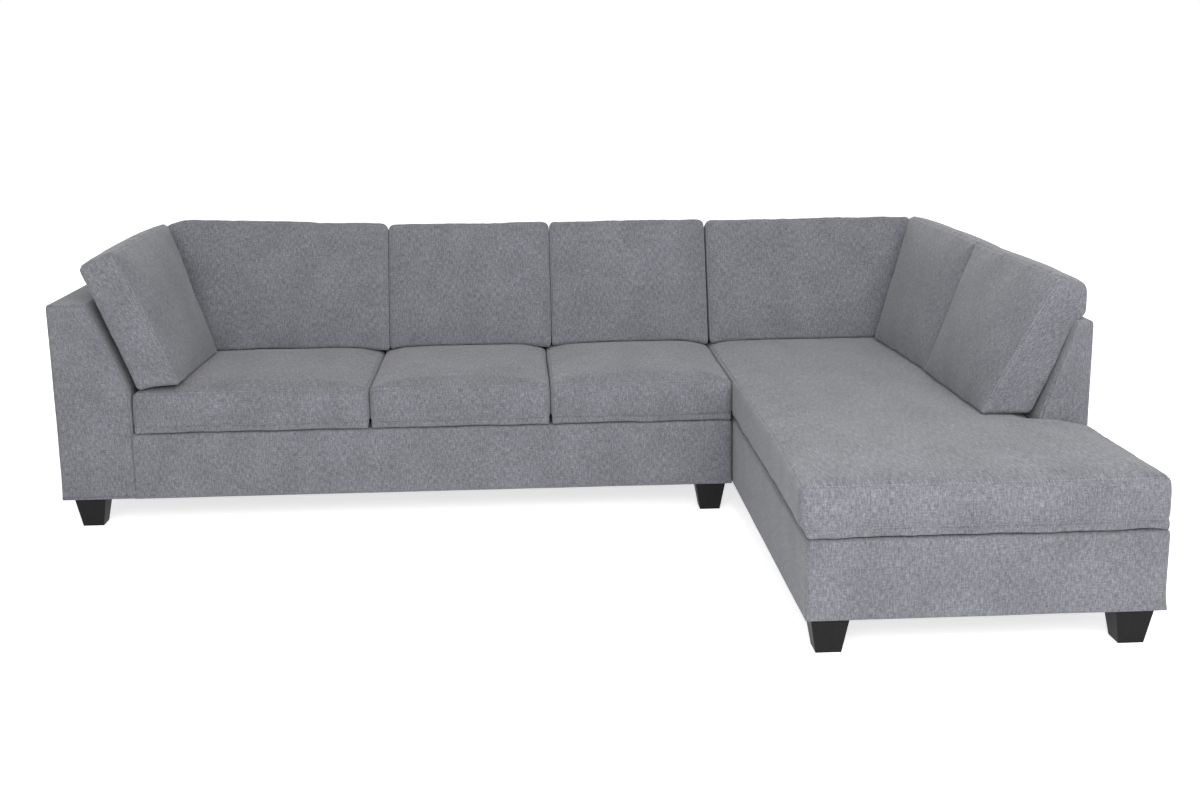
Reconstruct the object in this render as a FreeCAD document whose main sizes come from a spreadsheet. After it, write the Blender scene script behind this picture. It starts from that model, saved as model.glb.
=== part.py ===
import FreeCAD, Part
import Sketcher
import math
import os
import re

# Grey fabric sectional sofa: a three-seat sofa unit with one arm and a chaise unit with a side panel.
# Lengths are in millimetres. X runs from the arm to the chaise, Y from the front to the back, Z up.
# The layout is laid out from the arm's outer face, the sofa's front face and the floor.
# The origin of the finished part is at the middle of its footprint, on the floor.

Vector = FreeCAD.Vector
doc = FreeCAD.newDocument("SectionalSofa")
sheet = doc.addObject("Spreadsheet::Sheet", "Sizes")

SIZES = [
    ("overall_width", 3058, "arm's outer face to side panel's outer face"),
    ("sofa_depth", 890, "sofa front face to the back's rear face"),
    ("chaise_width", 908, "width of the chaise unit"),
    ("chaise_reach", 1291, "how far the chaise base stands in front of the sofa"),
    ("unit_gap", 3, "gap between the two units"),
    ("leg_height", 90, "floor to the underside of the base"),
    ("base_top", 302, "floor to the deck under the seat cushions"),
    ("frame_top", 720, "floor to the top of the arm, back and side panel"),
    ("slope_start", 445, "height where the inner faces start to slope outwards"),
    ("arm_width", 237, "arm at the seat"),
    ("arm_top", 123, "arm at its top"),
    ("back_width", 142, "back frame at the seat"),
    ("back_top", 44, "back frame at its top"),
    ("side_width", 144, "side panel at the seat"),
    ("side_top", 48, "side panel at its top"),
    ("side_reach", 696, "how far the side panel stands in front of the sofa's front"),
    ("padding", 12, "padding and fabric over the frame"),
    ("deck_cloth", 2, "cloth over the springs"),
    ("dust_cloth", 1.5, "cloth under the base"),
    ("board", 25, "thickness of the base rails"),
    ("rib_board", 20, "thickness of the ribs in the arm, back and side panel"),
    ("panel_board", 3, "hardboard on the ribs"),
    ("wire", 4, "spring wire"),
    ("clip_tab", 20, "side of a spring clip"),
    ("spring_width", 60, "width of a zigzag spring"),
    ("spring_pitch", 36, "distance between the runs of a spring"),
    ("spring_spacing", 145, "distance between springs"),
    ("deck_pad", 9, "felt pad on the springs"),
    ("fit", 0.3, "clearance between pieces that only rest on each other"),
    ("leg_top", 96, "leg at the base"),
    ("leg_foot", 65, "leg at the floor"),
    ("leg_inset", 6, "leg's top edge back from the front and rear faces"),
    ("arm_leg_inset", 38, "leg's top edge in from the arm's outer face"),
    ("end_leg_inset", 22, "leg's top edge in from the sofa unit's open end"),
    ("chaise_leg_inset", 15, "leg's top edge in from the chaise's open side"),
    ("side_leg_inset", 31, "leg's top edge in from the chaise's outer side"),
    ("bolt", 8, "leg bolt"),
    ("bolt_length", 60, "leg bolt, half in the leg and half in its block"),
    ("block_height", 60, "corner block"),
    ("cushion_gap", 3, "gap round a seat cushion"),
    ("seat_nose", 8, "how far a seat cushion stands in front of the base"),
    ("seat_side", 438, "top edge of a seat cushion at its sides"),
    ("seat_crown", 18, "rise of a seat cushion from its sides to its middle"),
    ("seat_split_one", 985, "joint between the first and second seat cushions"),
    ("seat_split_two", 1562, "joint between the second and third seat cushions"),
    ("seat_under", 5, "gap behind a seat cushion"),
    ("chaise_side", 442, "top edge of the chaise cushion at its sides"),
    ("chaise_crown", 14, "rise of the chaise cushion to its middle"),
    ("back_lean", 20, "lean of the back and side cushions, degrees"),
    ("arm_lean", 22.5, "lean of the arm cushion, degrees"),
    ("back_length", 450, "back cushion along its lean"),
    ("back_thick", 120, "back cushion at its edges"),
    ("back_room", 290, "a back cushion's lower front edge to the rear of the sofa"),
    ("back_split_one", 1005, "joint between the first and second back cushions"),
    ("back_split_two", 1584, "joint between the second and third back cushions"),
    ("front_crown", 28, "swell of a back cushion's face"),
    ("rear_crown", 10, "swell of a back cushion's rear"),
    ("corner_gap", 20, "a back cushion's face to the cushion that stands in front of it"),
    ("arm_cushion_thick", 118, "arm cushion at its edges"),
    ("arm_cushion_length", 458, "arm cushion along its lean"),
    ("arm_cushion_foot", 268, "arm's outer face to the arm cushion's lower rear edge"),
    ("arm_cushion_front", 8, "front face to the arm cushion's front end"),
    ("side_cushion_thick", 128, "side cushion at its edges"),
    ("side_cushion_length", 440, "side cushion along its lean"),
    ("side_cushion_room", 16, "side panel's inner face to a side cushion's lower rear edge"),
    ("side_split", -43, "joint between the side cushions, from the sofa's front face"),
    ("side_cushion_front", -668, "front end of the front side cushion, from the sofa's front face"),
    ("cushion_round", 26, "rounding of a cushion's ends"),
    ("seat_foot_round", 14, "rounding of a seat cushion's lower edges"),
    ("seat_top_round", 34, "rounding of a seat cushion's top edges"),
    ("leaning_foot_round", 14, "rounding of the lower edges of a back, arm or side cushion"),
    ("leaning_top_round", 22, "rounding of the top edges of a back, arm or side cushion"),
    ("leaning_rise", 4, "how much longer a leaning cushion is at its middle than at its ends"),
    ("leaning_top_swell", 6, "swell of a leaning cushion's top"),
    ("chaise_side_swell", 3, "swell of the chaise cushion's long sides"),
    ("cover_wall", 4, "cover and wadding of a loose cushion"),
    ("core_gap", 0.4, "clearance between a cushion's cover and its core"),
    ("hook_plate", 3, "steel of the sectional connectors"),
    ("hook_width", 40, "width of a connector"),
    ("hook_drop", 21, "depth of the hook below the base"),
    ("hook_lip", 9, "height of the hook's lip"),
    ("tongue_gap", 1.2, "gap under a tongue in its hook"),
    ("hook_reach", 38, "chaise's open side to the hook's lip"),
    ("hook_flange", 70, "length of a connector's flange"),
    ("hook_spot", 200, "front face to the front connector, and rear face to the rear one"),
]
for row, (alias, value, meaning) in enumerate(SIZES, start=1):
    sheet.set(f"A{row}", meaning)
    sheet.set(f"B{row}", str(value))
    sheet.setAlias(f"B{row}", alias)
doc.recompute()
ALIASES = {alias for alias, value, meaning in SIZES}


def bound(text):
    """Write an expression in the sheet's aliases as one that other objects can use."""
    def qualify(found):
        word = found.group(0)
        return "Sizes." + word if word in ALIASES else word
    return re.sub(r"[a-z][a-z_]+", qualify, str(text))


def num(text):
    """Work out an expression in the sheet's aliases."""
    return float(sheet.evalExpression(str(text)))


# Places that several pieces share, as expressions in the sheet's aliases.
SHIFT_X = "overall_width / 2"
SHIFT_Y = "(sofa_depth - chaise_reach - seat_nose) / 2"
SOFA_END = "(overall_width - chaise_width - unit_gap / 2)"
CHAISE_START = "(overall_width - chaise_width + unit_gap / 2)"
CHAISE_FRONT = "(0 - chaise_reach)"
BACK_INNER = "(sofa_depth - back_width)"
SIDE_INNER = "(overall_width - side_width)"
SIDE_FRONT = "(0 - side_reach)"
FRAME_BACK = "(sofa_depth - padding)"
RAIL_BOTTOM = "(leg_height + dust_cloth)"
RAIL_TOP = "(base_top - deck_cloth - deck_pad - 2 * fit - wire)"
RAIL_HEIGHT = f"({RAIL_TOP} - {RAIL_BOTTOM})"
CROSS_HEIGHT = f"({RAIL_HEIGHT} / 2)"
RIB_TOP = "(frame_top - padding - rib_board)"
RIB_FRONT = f"({BACK_INNER} + padding + panel_board)"
SPRING_RAIL = f"({RIB_FRONT} - board)"
BLOCK_INSET = "(padding + board - leg_inset)"
SIDE_SPRING_RAIL = f"({SIDE_INNER} + padding + panel_board - board)"

# How many pieces share a length.
CROSS_RAILS = 3
SOFA_BACK_RIBS = 5
CHAISE_BACK_RIBS = 3
SIDE_PANEL_RIBS = 4
ARM_RIBS = 3

sub_parts = []


def finish_node(item, label):
    """Name a sub-part, so that it is written out at the end."""
    item.Label = label
    sub_parts.append(item)
    return item


def place(item, x="0", y="0", z="0"):
    """Move an object from the layout's corner to its place about the part's origin."""
    item.setExpression("Placement.Base.x", bound(f"{x} - {SHIFT_X}"))
    item.setExpression("Placement.Base.y", bound(f"{y} - {SHIFT_Y}"))
    item.setExpression("Placement.Base.z", bound(z))
    return item


def block(x, y, z, length, width, height):
    """A box with its low corner at x, y, z."""
    box = doc.addObject("Part::Box", "Block")
    box.setExpression("Length", bound(length))
    box.setExpression("Width", bound(width))
    box.setExpression("Height", bound(height))
    return place(box, x, y, z)


def prism(plane, outline, start, length):
    """A padded sketch: a front outline (x, z) pushed back from start, or a side one (y, z) pushed right."""
    body = doc.addObject("PartDesign::Body", "Prism")
    sketch = body.newObject("Sketcher::SketchObject", "Outline")
    role = "XZ_Plane" if plane == "front" else "YZ_Plane"
    origin = [item for item in body.Origin.OriginFeatures if item.Role == role][0]
    sketch.AttachmentSupport = [(origin, "")]
    sketch.MapMode = "FlatFace"
    corners = [Vector(num(across), num(up), 0) for across, up in outline]
    count = len(corners)
    for index in range(count):
        sketch.addGeometry(Part.LineSegment(corners[index], corners[(index + 1) % count]))
    for index in range(count):
        sketch.addConstraint(Sketcher.Constraint("Coincident", index, 2, (index + 1) % count, 1))
    for index, (across, up) in enumerate(outline):
        corner = corners[index]
        for kind, text, value in (("DistanceX", across, corner.x), ("DistanceY", up, corner.y)):
            number = sketch.addConstraint(Sketcher.Constraint(kind, -1, 1, index, 1, value))
            sketch.setExpression(f"Constraints[{number}]", bound(text))
    pad = body.newObject("PartDesign::Pad", "Length")
    pad.Profile = sketch
    pad.Length = 1
    pad.setExpression("Length", bound(length))
    pad.Reversed = plane == "front"
    return place(body, y=start) if plane == "front" else place(body, x=start)


def cut(base, *tools):
    """The base with every tool taken out of it."""
    for tool in tools:
        result = doc.addObject("Part::Cut", "Cut")
        result.Base = base
        result.Tool = tool
        base = result
    return base


def together(pieces, label):
    """One node of several separate solids."""
    item = doc.addObject("Part::Compound", "Group")
    item.Links = pieces
    return finish_node(item, label)


# Legs, bolts and corner blocks. A leg is a black block that tapers on all four sides.

def leg(x, y):
    wedge = doc.addObject("Part::Wedge", "Leg")
    inset = "(leg_top - leg_foot) / 2"
    for name in ("Xmin", "Zmin"):
        wedge.setExpression(name, bound(inset))
    for name in ("Xmax", "Zmax"):
        wedge.setExpression(name, bound(f"leg_top - {inset}"))
    for name in ("X2min", "Z2min", "Ymin"):
        setattr(wedge, name, 0)
    for name in ("X2max", "Z2max"):
        wedge.setExpression(name, bound("leg_top"))
    wedge.setExpression("Ymax", bound("leg_height"))
    wedge.Placement.Rotation = FreeCAD.Rotation(Vector(1, 0, 0), 90)
    place(wedge, x, f"{y} + leg_top")
    return cut(wedge, bolt_pin(x, y, "bolt / 2 + fit", "leg_height - bolt_length / 2 - fit"))


def bolt_pin(x, y, radius, bottom):
    pin = doc.addObject("Part::Cylinder", "Pin")
    pin.setExpression("Radius", bound(radius))
    pin.setExpression("Height", bound(f"leg_height + bolt_length / 2 - ({bottom})"))
    return place(pin, f"{x} + leg_top / 2", f"{y} + leg_top / 2", bottom)


def feet(unit, spots):
    """A unit's legs, the bolts in them, and the blocks in the frame that take the bolts."""
    legs = [leg(x, y) for x, y in spots]
    together(legs, f"{unit}_legs")
    bolts = [bolt_pin(x, y, "bolt / 2", "leg_height - bolt_length / 2") for x, y in spots]
    together(bolts, f"{unit}_leg_bolts")
    blocks = []
    side = f"(leg_top - 2 * {BLOCK_INSET})"
    for x, y in spots:
        wood = block(f"{x} + {BLOCK_INSET}", f"{y} + {BLOCK_INSET}", RAIL_BOTTOM, side, side, "block_height")
        blocks.append(cut(wood, bolt_pin(x, y, "bolt / 2 + fit", "leg_height - bolt_length / 2")))
    together(blocks, f"{unit}_leg_blocks")


def dust_cover(unit, left, front, length, width, spots):
    cloth = block(left, front, "leg_height", length, width, "dust_cloth")
    holes = [bolt_pin(x, y, "bolt / 2 + fit", "leg_height - bolt_length / 2") for x, y in spots]
    finish_node(cut(cloth, *holes), f"{unit}_dust_cover")


# Zigzag springs lie across the rails, held at both ends by clips.

def zigzag(length):
    """A flat zigzag wire along X: runs across it joined by half turns, with a straight lead at each end."""
    turn = num("spring_pitch / 2")
    run = num("spring_width / 2") - turn
    clear = num("clip_tab") + turn + run
    count = int((length - 2 * clear) // (2 * turn))
    lead = length / 2 - turn * count
    bend = math.sqrt(0.5)

    def arc(start, middle, end):
        return Part.Arc(Vector(*start, 0), Vector(*middle, 0), Vector(*end, 0)).toShape()

    edges = [Part.makeLine(Vector(0, 0, 0), Vector(lead - run, 0, 0))]
    edges.append(arc((lead - run, 0), (lead - run * (1 - bend), run * (1 - bend)), (lead, run)))
    side = 1
    for index in range(count):
        x = lead + 2 * turn * index
        level = side * run
        shoulder = side * (run + turn * bend)
        top = (x + turn, side * (run + turn))
        edges.append(arc((x, level), (x + turn * (1 - bend), shoulder), top))
        edges.append(arc(top, (x + turn * (1 + bend), shoulder), (x + 2 * turn, level)))
        if index < count - 1:
            edges.append(Part.makeLine(Vector(x + 2 * turn, level, 0), Vector(x + 2 * turn, -level, 0)))
            side = -side
    x = length - lead
    edges.append(arc((x, side * run), (x + run * (1 - bend), side * run * (1 - bend)), (x + run, 0)))
    edges.append(Part.makeLine(Vector(x + run, 0, 0), Vector(length, 0, 0)))
    ring = Part.Wire([Part.makeCircle(num("wire / 2"), Vector(0, 0, 0), Vector(1, 0, 0))])
    return Part.Wire(edges).makePipeShell([ring], True, False)


def clip(x, y, along):
    """A plastic saddle over the end of a spring's wire, flat on the rail."""
    tab = num("clip_tab")
    groove = num("wire + fit")
    corner = Vector(x - tab / 2, y - tab / 2, num(RAIL_TOP))
    saddle = Part.makeBox(tab, tab, num("wire + fit + deck_cloth"), corner)
    if along == "x":
        return saddle.cut(Part.makeBox(tab, groove, groove, corner + Vector(0, (tab - groove) / 2, 0)))
    return saddle.cut(Part.makeBox(groove, tab, groove, corner + Vector((tab - groove) / 2, 0, 0)))


def springs(unit, along, start, end, first, last):
    """A row of springs spread from first to last, each along X or Y from start to end, with their clips."""
    start, end, first, last = num(start), num(end), num(first), num(last)
    lift = num(f"{RAIL_TOP} + (wire + fit) / 2")
    wire_shape = zigzag(end - start)
    count = max(2, int((last - first) // num("spring_spacing")))
    inset = num("clip_tab / 2")
    shapes, clips = [], []
    for index in range(count):
        middle = first + (last - first) * (index + 0.5) / count
        spring = wire_shape.copy()
        if along == "x":
            spring.translate(Vector(start, middle, lift))
            clips += [clip(start + inset, middle, along), clip(end - inset, middle, along)]
        else:
            spring.rotate(Vector(0, 0, 0), Vector(0, 0, 1), 90)
            spring.translate(Vector(middle, start, lift))
            clips += [clip(middle, start + inset, along), clip(middle, end - inset, along)]
        shapes.append(spring)
    for label, solids in ((f"{unit}_springs", shapes), (f"{unit}_spring_clips", clips)):
        item = doc.addObject("Part::Feature", "Springs")
        item.Shape = Part.makeCompound(solids)
        finish_node(place(item), label)


# The profiles of the arm, the back and the side panel: upright outside, sloping inside above the seat.

def slant(width, top):
    """How far an inner face moves outwards for each millimetre of height above the seat."""
    return f"(({width} - {top}) / (frame_top - slope_start))"


def inner_face(width, top, margin, level):
    """Depth of the piece at a level on its slope, less a margin square to the slope."""
    slope = slant(width, top)
    return f"({width} - {slope} * ({level} - slope_start) - ({margin}) * sqrt(1 + {slope} * {slope}))"


def profile(width, top, margin, low, high, outer="0"):
    """Outline seen along the piece: distance in from its outer face, and height."""
    slope = slant(width, top)
    knee = f"(slope_start - ({margin}) * (sqrt(1 + {slope} * {slope}) - 1) / {slope})"
    return [
        (outer, low),
        (f"{width} - ({margin})", low),
        (f"{width} - ({margin})", knee),
        (inner_face(width, top, margin, high), high),
        (outer, high),
    ]


def from_far_side(outline, far):
    """The same outline for a piece whose outer face is at the far side."""
    return [(f"{far} - ({across})", up) for across, up in outline]


def arm_profile(margin, low, high, outer="0"):
    return profile("arm_width", "arm_top", margin, low, high, outer)


def back_profile(margin, low, high, outer="0"):
    return from_far_side(profile("back_width", "back_top", margin, low, high, outer), "sofa_depth")


def side_profile(margin, low, high, outer="0"):
    return from_far_side(profile("side_width", "side_top", margin, low, high, outer), "overall_width")


def slope_sheet(width, top):
    """Outline of a thin board on the sloping side of the ribs."""
    near, far = "padding", "padding + panel_board"
    low, high = "slope_start", RIB_TOP
    return [
        (inner_face(width, top, near, low), low),
        (inner_face(width, top, near, high), high),
        (inner_face(width, top, far, high), high),
        (inner_face(width, top, far, low), low),
    ]


def spread(first, last, count):
    """Evenly spaced places from first to last."""
    return [f"({first} + ({last} - {first}) * {index} / {count - 1})" for index in range(count)]


# Sofa unit: the base frame.

SOFA_LONG = f"({SOFA_END} - 2 * padding)"
SOFA_RAIL = f"({SOFA_END} - padding - board)"
BETWEEN_RAILS = "(sofa_depth - 2 * padding - 2 * board)"
BEHIND_RAIL = "(padding + board)"
ARM_RAIL = "(arm_width - padding - board)"
BAY_LEFT = "(arm_width - padding)"

sofa_front_rail = block("padding", "padding", RAIL_BOTTOM, SOFA_LONG, "board", RAIL_HEIGHT)
finish_node(sofa_front_rail, "sofa_front_rail")
sofa_rear_rail = block("padding", f"{FRAME_BACK} - board", RAIL_BOTTOM, SOFA_LONG, "board", RAIL_HEIGHT)
finish_node(sofa_rear_rail, "sofa_rear_rail")
together([block(x, BEHIND_RAIL, RAIL_BOTTOM, "board", BETWEEN_RAILS, RAIL_HEIGHT)
          for x in ("padding", ARM_RAIL, SOFA_RAIL)], "sofa_end_rails")
SOFA_CROSS = spread(BAY_LEFT, SOFA_RAIL, CROSS_RAILS + 2)[1:-1]
BAY_DEPTH = f"{SPRING_RAIL} - {BEHIND_RAIL}"
sofa_cross_rails = [block(x, BEHIND_RAIL, RAIL_BOTTOM, "board", BAY_DEPTH, CROSS_HEIGHT)
                    for x in SOFA_CROSS]
sofa_cross_rails.append(block(BAY_LEFT, SPRING_RAIL, RAIL_BOTTOM, f"{SOFA_RAIL} - {BAY_LEFT}", "board",
                              RAIL_HEIGHT))
together(sofa_cross_rails, "sofa_cross_rails")

REAR_LEGS = "(sofa_depth - leg_inset - leg_top)"
SOFA_END_LEG = f"({SOFA_END} - end_leg_inset - leg_top)"
SOFA_LEGS = [
    ("arm_leg_inset", "leg_inset"),
    (SOFA_END_LEG, "leg_inset"),
    ("arm_leg_inset", REAR_LEGS),
    (SOFA_END_LEG, REAR_LEGS),
    (f"({SOFA_CROSS[1]} + board - {BLOCK_INSET})", "((sofa_depth - leg_top) / 2)"),
]
feet("sofa", SOFA_LEGS)
dust_cover("sofa", "padding", "padding", SOFA_LONG, "sofa_depth - 2 * padding", SOFA_LEGS)

# Sofa unit: the back and the arm.

SOFA_BACK_LEFT = "(arm_width + padding)"
SOFA_RIBS = spread(SOFA_BACK_LEFT, f"({SOFA_END_LEG} - rib_board)", SOFA_BACK_RIBS)


def back_ribs(places, rear_rail):
    outline = back_profile("padding + panel_board", RAIL_BOTTOM, RIB_TOP, "padding")
    return [cut(prism("side", outline, x, "rib_board"), rear_rail) for x in places]


def back_top_rail(left, right):
    depth = f"({inner_face('back_width', 'back_top', 'padding', 'frame_top - padding')} - padding)"
    return block(left, f"{FRAME_BACK} - {depth}", RIB_TOP, f"{right} - {left}", depth, "rib_board")


def back_board(left, right):
    outline = from_far_side(slope_sheet("back_width", "back_top"), "sofa_depth")
    return prism("side", outline, left, f"{right} - {left}")


together(back_ribs(SOFA_RIBS, sofa_rear_rail) + [back_top_rail(SOFA_BACK_LEFT, f"({SOFA_END} - padding)")],
         "sofa_back_frame")
finish_node(back_board(SOFA_BACK_LEFT, f"({SOFA_END} - padding)"), "sofa_back_board")

ARM_OUTER = "padding + panel_board"
arm_ribs = [prism("front", arm_profile("padding + panel_board", RAIL_TOP, RIB_TOP, ARM_OUTER), y, "rib_board")
            for y in spread("padding", f"({FRAME_BACK} - rib_board)", ARM_RIBS)]
ARM_LONG = "(sofa_depth - 2 * padding)"
arm_board_width = f"{inner_face('arm_width', 'arm_top', 'padding', 'frame_top - padding')} - ({ARM_OUTER})"
arm_top_board = block(ARM_OUTER, "padding", RIB_TOP, arm_board_width, ARM_LONG, "rib_board")
together(arm_ribs + [arm_top_board], "sofa_arm_frame")
together([block("padding", "padding", RAIL_TOP, "panel_board", ARM_LONG, f"frame_top - padding - {RAIL_TOP}"),
          prism("front", slope_sheet("arm_width", "arm_top"), "padding", ARM_LONG)], "sofa_arm_boards")

# Sofa unit: springs and upholstery.

CLIP_EDGE = "(board - clip_tab) / 2"
springs("sofa", "y", f"padding + {CLIP_EDGE}", f"{SPRING_RAIL} + board - {CLIP_EDGE}", BAY_LEFT, SOFA_RAIL)
PAD_LEVEL = f"({RAIL_TOP} + wire + fit)"
finish_node(block(BAY_LEFT, BEHIND_RAIL, PAD_LEVEL, f"{SOFA_RAIL} - {BAY_LEFT}",
                  f"{SPRING_RAIL} - {BEHIND_RAIL}", "deck_pad"), "sofa_deck_pad")

arm_solid = prism("front", arm_profile("0", "leg_height", "frame_top"), "0", "sofa_depth")
arm_room = prism("front", arm_profile("padding", "leg_height", "frame_top - padding", "padding"),
                 "padding", ARM_LONG)
arm_passage = block(BAY_LEFT, "padding", "leg_height", "padding", ARM_LONG, "base_top - leg_height")
finish_node(cut(arm_solid, arm_room, arm_passage), "sofa_arm_cover")

SKIRT = "base_top - leg_height"
sofa_base = block("arm_width", "0", "leg_height", f"{SOFA_END} - arm_width", "sofa_depth", SKIRT)
sofa_base_room = block("arm_width", "padding", "leg_height", f"{SOFA_END} - padding - arm_width", ARM_LONG,
                       f"{SKIRT} - deck_cloth")
RIB_OPENING = f"({BACK_INNER} + padding)"
RIB_OPENING_LENGTH = f"{SOFA_END} - padding - {SOFA_BACK_LEFT}"
sofa_rib_opening = block(SOFA_BACK_LEFT, RIB_OPENING, "leg_height", RIB_OPENING_LENGTH,
                         f"{FRAME_BACK} - {RIB_OPENING}", SKIRT)
finish_node(cut(sofa_base, sofa_base_room, sofa_rib_opening), "sofa_base_cover")

sofa_back = prism("side", back_profile("0", "base_top", "frame_top"), "0", SOFA_END)
sofa_back_room = prism("side", back_profile("padding", "base_top", "frame_top - padding", "padding"),
                       SOFA_BACK_LEFT, f"{SOFA_END} - padding - {SOFA_BACK_LEFT}")
finish_node(cut(sofa_back, arm_solid, sofa_back_room), "sofa_back_cover")

# Chaise unit: the base frame. Its springs lie from side to side.

CHAISE_LEFT = f"({CHAISE_START} + padding)"
CHAISE_LONG = f"(overall_width - padding - {CHAISE_LEFT})"
CHAISE_LOW = f"({CHAISE_FRONT} + padding)"
CHAISE_INSIDE = f"({CHAISE_LOW} + board)"
CHAISE_BETWEEN = f"({FRAME_BACK} - board - {CHAISE_INSIDE})"
OUTER_RAIL = "(overall_width - padding - board)"
CHAISE_BAY = f"({CHAISE_LEFT} + board)"

finish_node(block(CHAISE_LEFT, CHAISE_LOW, RAIL_BOTTOM, CHAISE_LONG, "board", RAIL_HEIGHT),
            "chaise_front_rail")
chaise_rear_rail = block(CHAISE_LEFT, f"{FRAME_BACK} - board", RAIL_BOTTOM, CHAISE_LONG, "board", RAIL_HEIGHT)
finish_node(chaise_rear_rail, "chaise_rear_rail")
chaise_outer_rail = block(OUTER_RAIL, CHAISE_INSIDE, RAIL_BOTTOM, "board", CHAISE_BETWEEN, RAIL_HEIGHT)
chaise_side_rails = [block(x, CHAISE_INSIDE, RAIL_BOTTOM, "board", CHAISE_BETWEEN, RAIL_HEIGHT)
                     for x in (CHAISE_LEFT, SIDE_SPRING_RAIL)]
together(chaise_side_rails + [chaise_outer_rail], "chaise_side_rails")
BAY_WIDTH = f"({SIDE_SPRING_RAIL} - {CHAISE_BAY})"
CHAISE_CROSS = spread(CHAISE_INSIDE, SPRING_RAIL, CROSS_RAILS + 2)[1:-1]
chaise_cross_rails = [block(CHAISE_BAY, y, RAIL_BOTTOM, BAY_WIDTH, "board", CROSS_HEIGHT)
                      for y in CHAISE_CROSS]
chaise_cross_rails.append(block(CHAISE_BAY, SPRING_RAIL, RAIL_BOTTOM, BAY_WIDTH, "board", RAIL_HEIGHT))
together(chaise_cross_rails, "chaise_cross_rails")

CHAISE_LEG_LEFT = f"({CHAISE_START} + chaise_leg_inset)"
CHAISE_LEG_RIGHT = "(overall_width - side_leg_inset - leg_top)"
CHAISE_FRONT_LEGS = f"({CHAISE_FRONT} + leg_inset)"
CHAISE_LEGS = [
    (CHAISE_LEG_LEFT, CHAISE_FRONT_LEGS),
    (CHAISE_LEG_RIGHT, CHAISE_FRONT_LEGS),
    (CHAISE_LEG_LEFT, REAR_LEGS),
    (CHAISE_LEG_RIGHT, REAR_LEGS),
    (f"({CHAISE_BAY} + {BAY_WIDTH} / 2)", f"({CHAISE_CROSS[1]} + board - {BLOCK_INSET})"),
]
feet("chaise", CHAISE_LEGS)
dust_cover("chaise", CHAISE_LEFT, CHAISE_LOW, CHAISE_LONG, f"{FRAME_BACK} - {CHAISE_LOW}", CHAISE_LEGS)

# Chaise unit: the back and the side panel.

CHAISE_BACK_RIGHT = f"({SIDE_INNER} - padding)"
CHAISE_RIBS = spread(f"({CHAISE_LEG_LEFT} + leg_top)", f"({CHAISE_BACK_RIGHT} - rib_board)", CHAISE_BACK_RIBS)
together(back_ribs(CHAISE_RIBS, chaise_rear_rail) + [back_top_rail(CHAISE_LEFT, CHAISE_BACK_RIGHT)],
         "chaise_back_frame")
finish_node(back_board(CHAISE_LEFT, CHAISE_BACK_RIGHT), "chaise_back_board")

SIDE_LOW = f"({SIDE_FRONT} + padding)"
SIDE_RIBS = spread(SIDE_LOW, SPRING_RAIL, SIDE_PANEL_RIBS)
side_outline = side_profile("padding + panel_board", RAIL_BOTTOM, RIB_TOP, "padding")
side_ribs = [cut(prism("front", side_outline, y, "rib_board"), chaise_outer_rail) for y in SIDE_RIBS]
side_depth = f"({inner_face('side_width', 'side_top', 'padding', 'frame_top - padding')} - padding)"
SIDE_LONG = f"({FRAME_BACK} - {SIDE_LOW})"
side_top_board = block(f"overall_width - padding - {side_depth}", SIDE_LOW, RIB_TOP, side_depth, SIDE_LONG,
                       "rib_board")
together(side_ribs + [side_top_board], "chaise_side_frame")
finish_node(prism("front", from_far_side(slope_sheet("side_width", "side_top"), "overall_width"), SIDE_LOW,
                  SIDE_LONG), "chaise_side_board")

# Chaise unit: springs and upholstery.

springs("chaise", "x", f"{CHAISE_LEFT} + {CLIP_EDGE}", f"{SIDE_SPRING_RAIL} + board - {CLIP_EDGE}",
        CHAISE_INSIDE, SPRING_RAIL)
finish_node(block(CHAISE_BAY, CHAISE_INSIDE, PAD_LEVEL, BAY_WIDTH, f"{SPRING_RAIL} - {CHAISE_INSIDE}",
                  "deck_pad"), "chaise_deck_pad")

chaise_base = block(CHAISE_START, CHAISE_FRONT, "leg_height", f"overall_width - {CHAISE_START}",
                    f"sofa_depth - {CHAISE_FRONT}", SKIRT)
chaise_base_room = block(CHAISE_LEFT, CHAISE_LOW, "leg_height", CHAISE_LONG, f"{FRAME_BACK} - {CHAISE_LOW}",
                         f"{SKIRT} - deck_cloth")
chaise_rib_opening = block(CHAISE_LEFT, RIB_OPENING, "leg_height", f"{CHAISE_BACK_RIGHT} - {CHAISE_LEFT}",
                           f"{FRAME_BACK} - {RIB_OPENING}", SKIRT)
SIDE_OPENING = f"({SIDE_INNER} + padding)"
chaise_side_opening = block(SIDE_OPENING, SIDE_LOW, "leg_height", f"overall_width - padding - {SIDE_OPENING}",
                            SIDE_LONG, SKIRT)
finish_node(cut(chaise_base, chaise_base_room, chaise_rib_opening, chaise_side_opening), "chaise_base_cover")

side_solid = prism("front", side_profile("0", "base_top", "frame_top"), SIDE_FRONT,
                   f"sofa_depth - {SIDE_FRONT}")
side_room = prism("front", side_profile("padding", "base_top", "frame_top - padding", "padding"), SIDE_LOW,
                  SIDE_LONG)
finish_node(cut(side_solid, side_room), "chaise_side_cover")

chaise_back = prism("side", back_profile("0", "base_top", "frame_top"), CHAISE_START,
                    f"overall_width - {CHAISE_START}")
chaise_back_room = prism("side", back_profile("padding", "base_top", "frame_top - padding", "padding"),
                         CHAISE_LEFT, f"{CHAISE_BACK_RIGHT} - {CHAISE_LEFT}")
finish_node(cut(chaise_back, side_solid, chaise_back_room), "chaise_back_cover")

# Sectional connectors under the bases: the chaise's tongues drop into the sofa's hooks.

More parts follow.
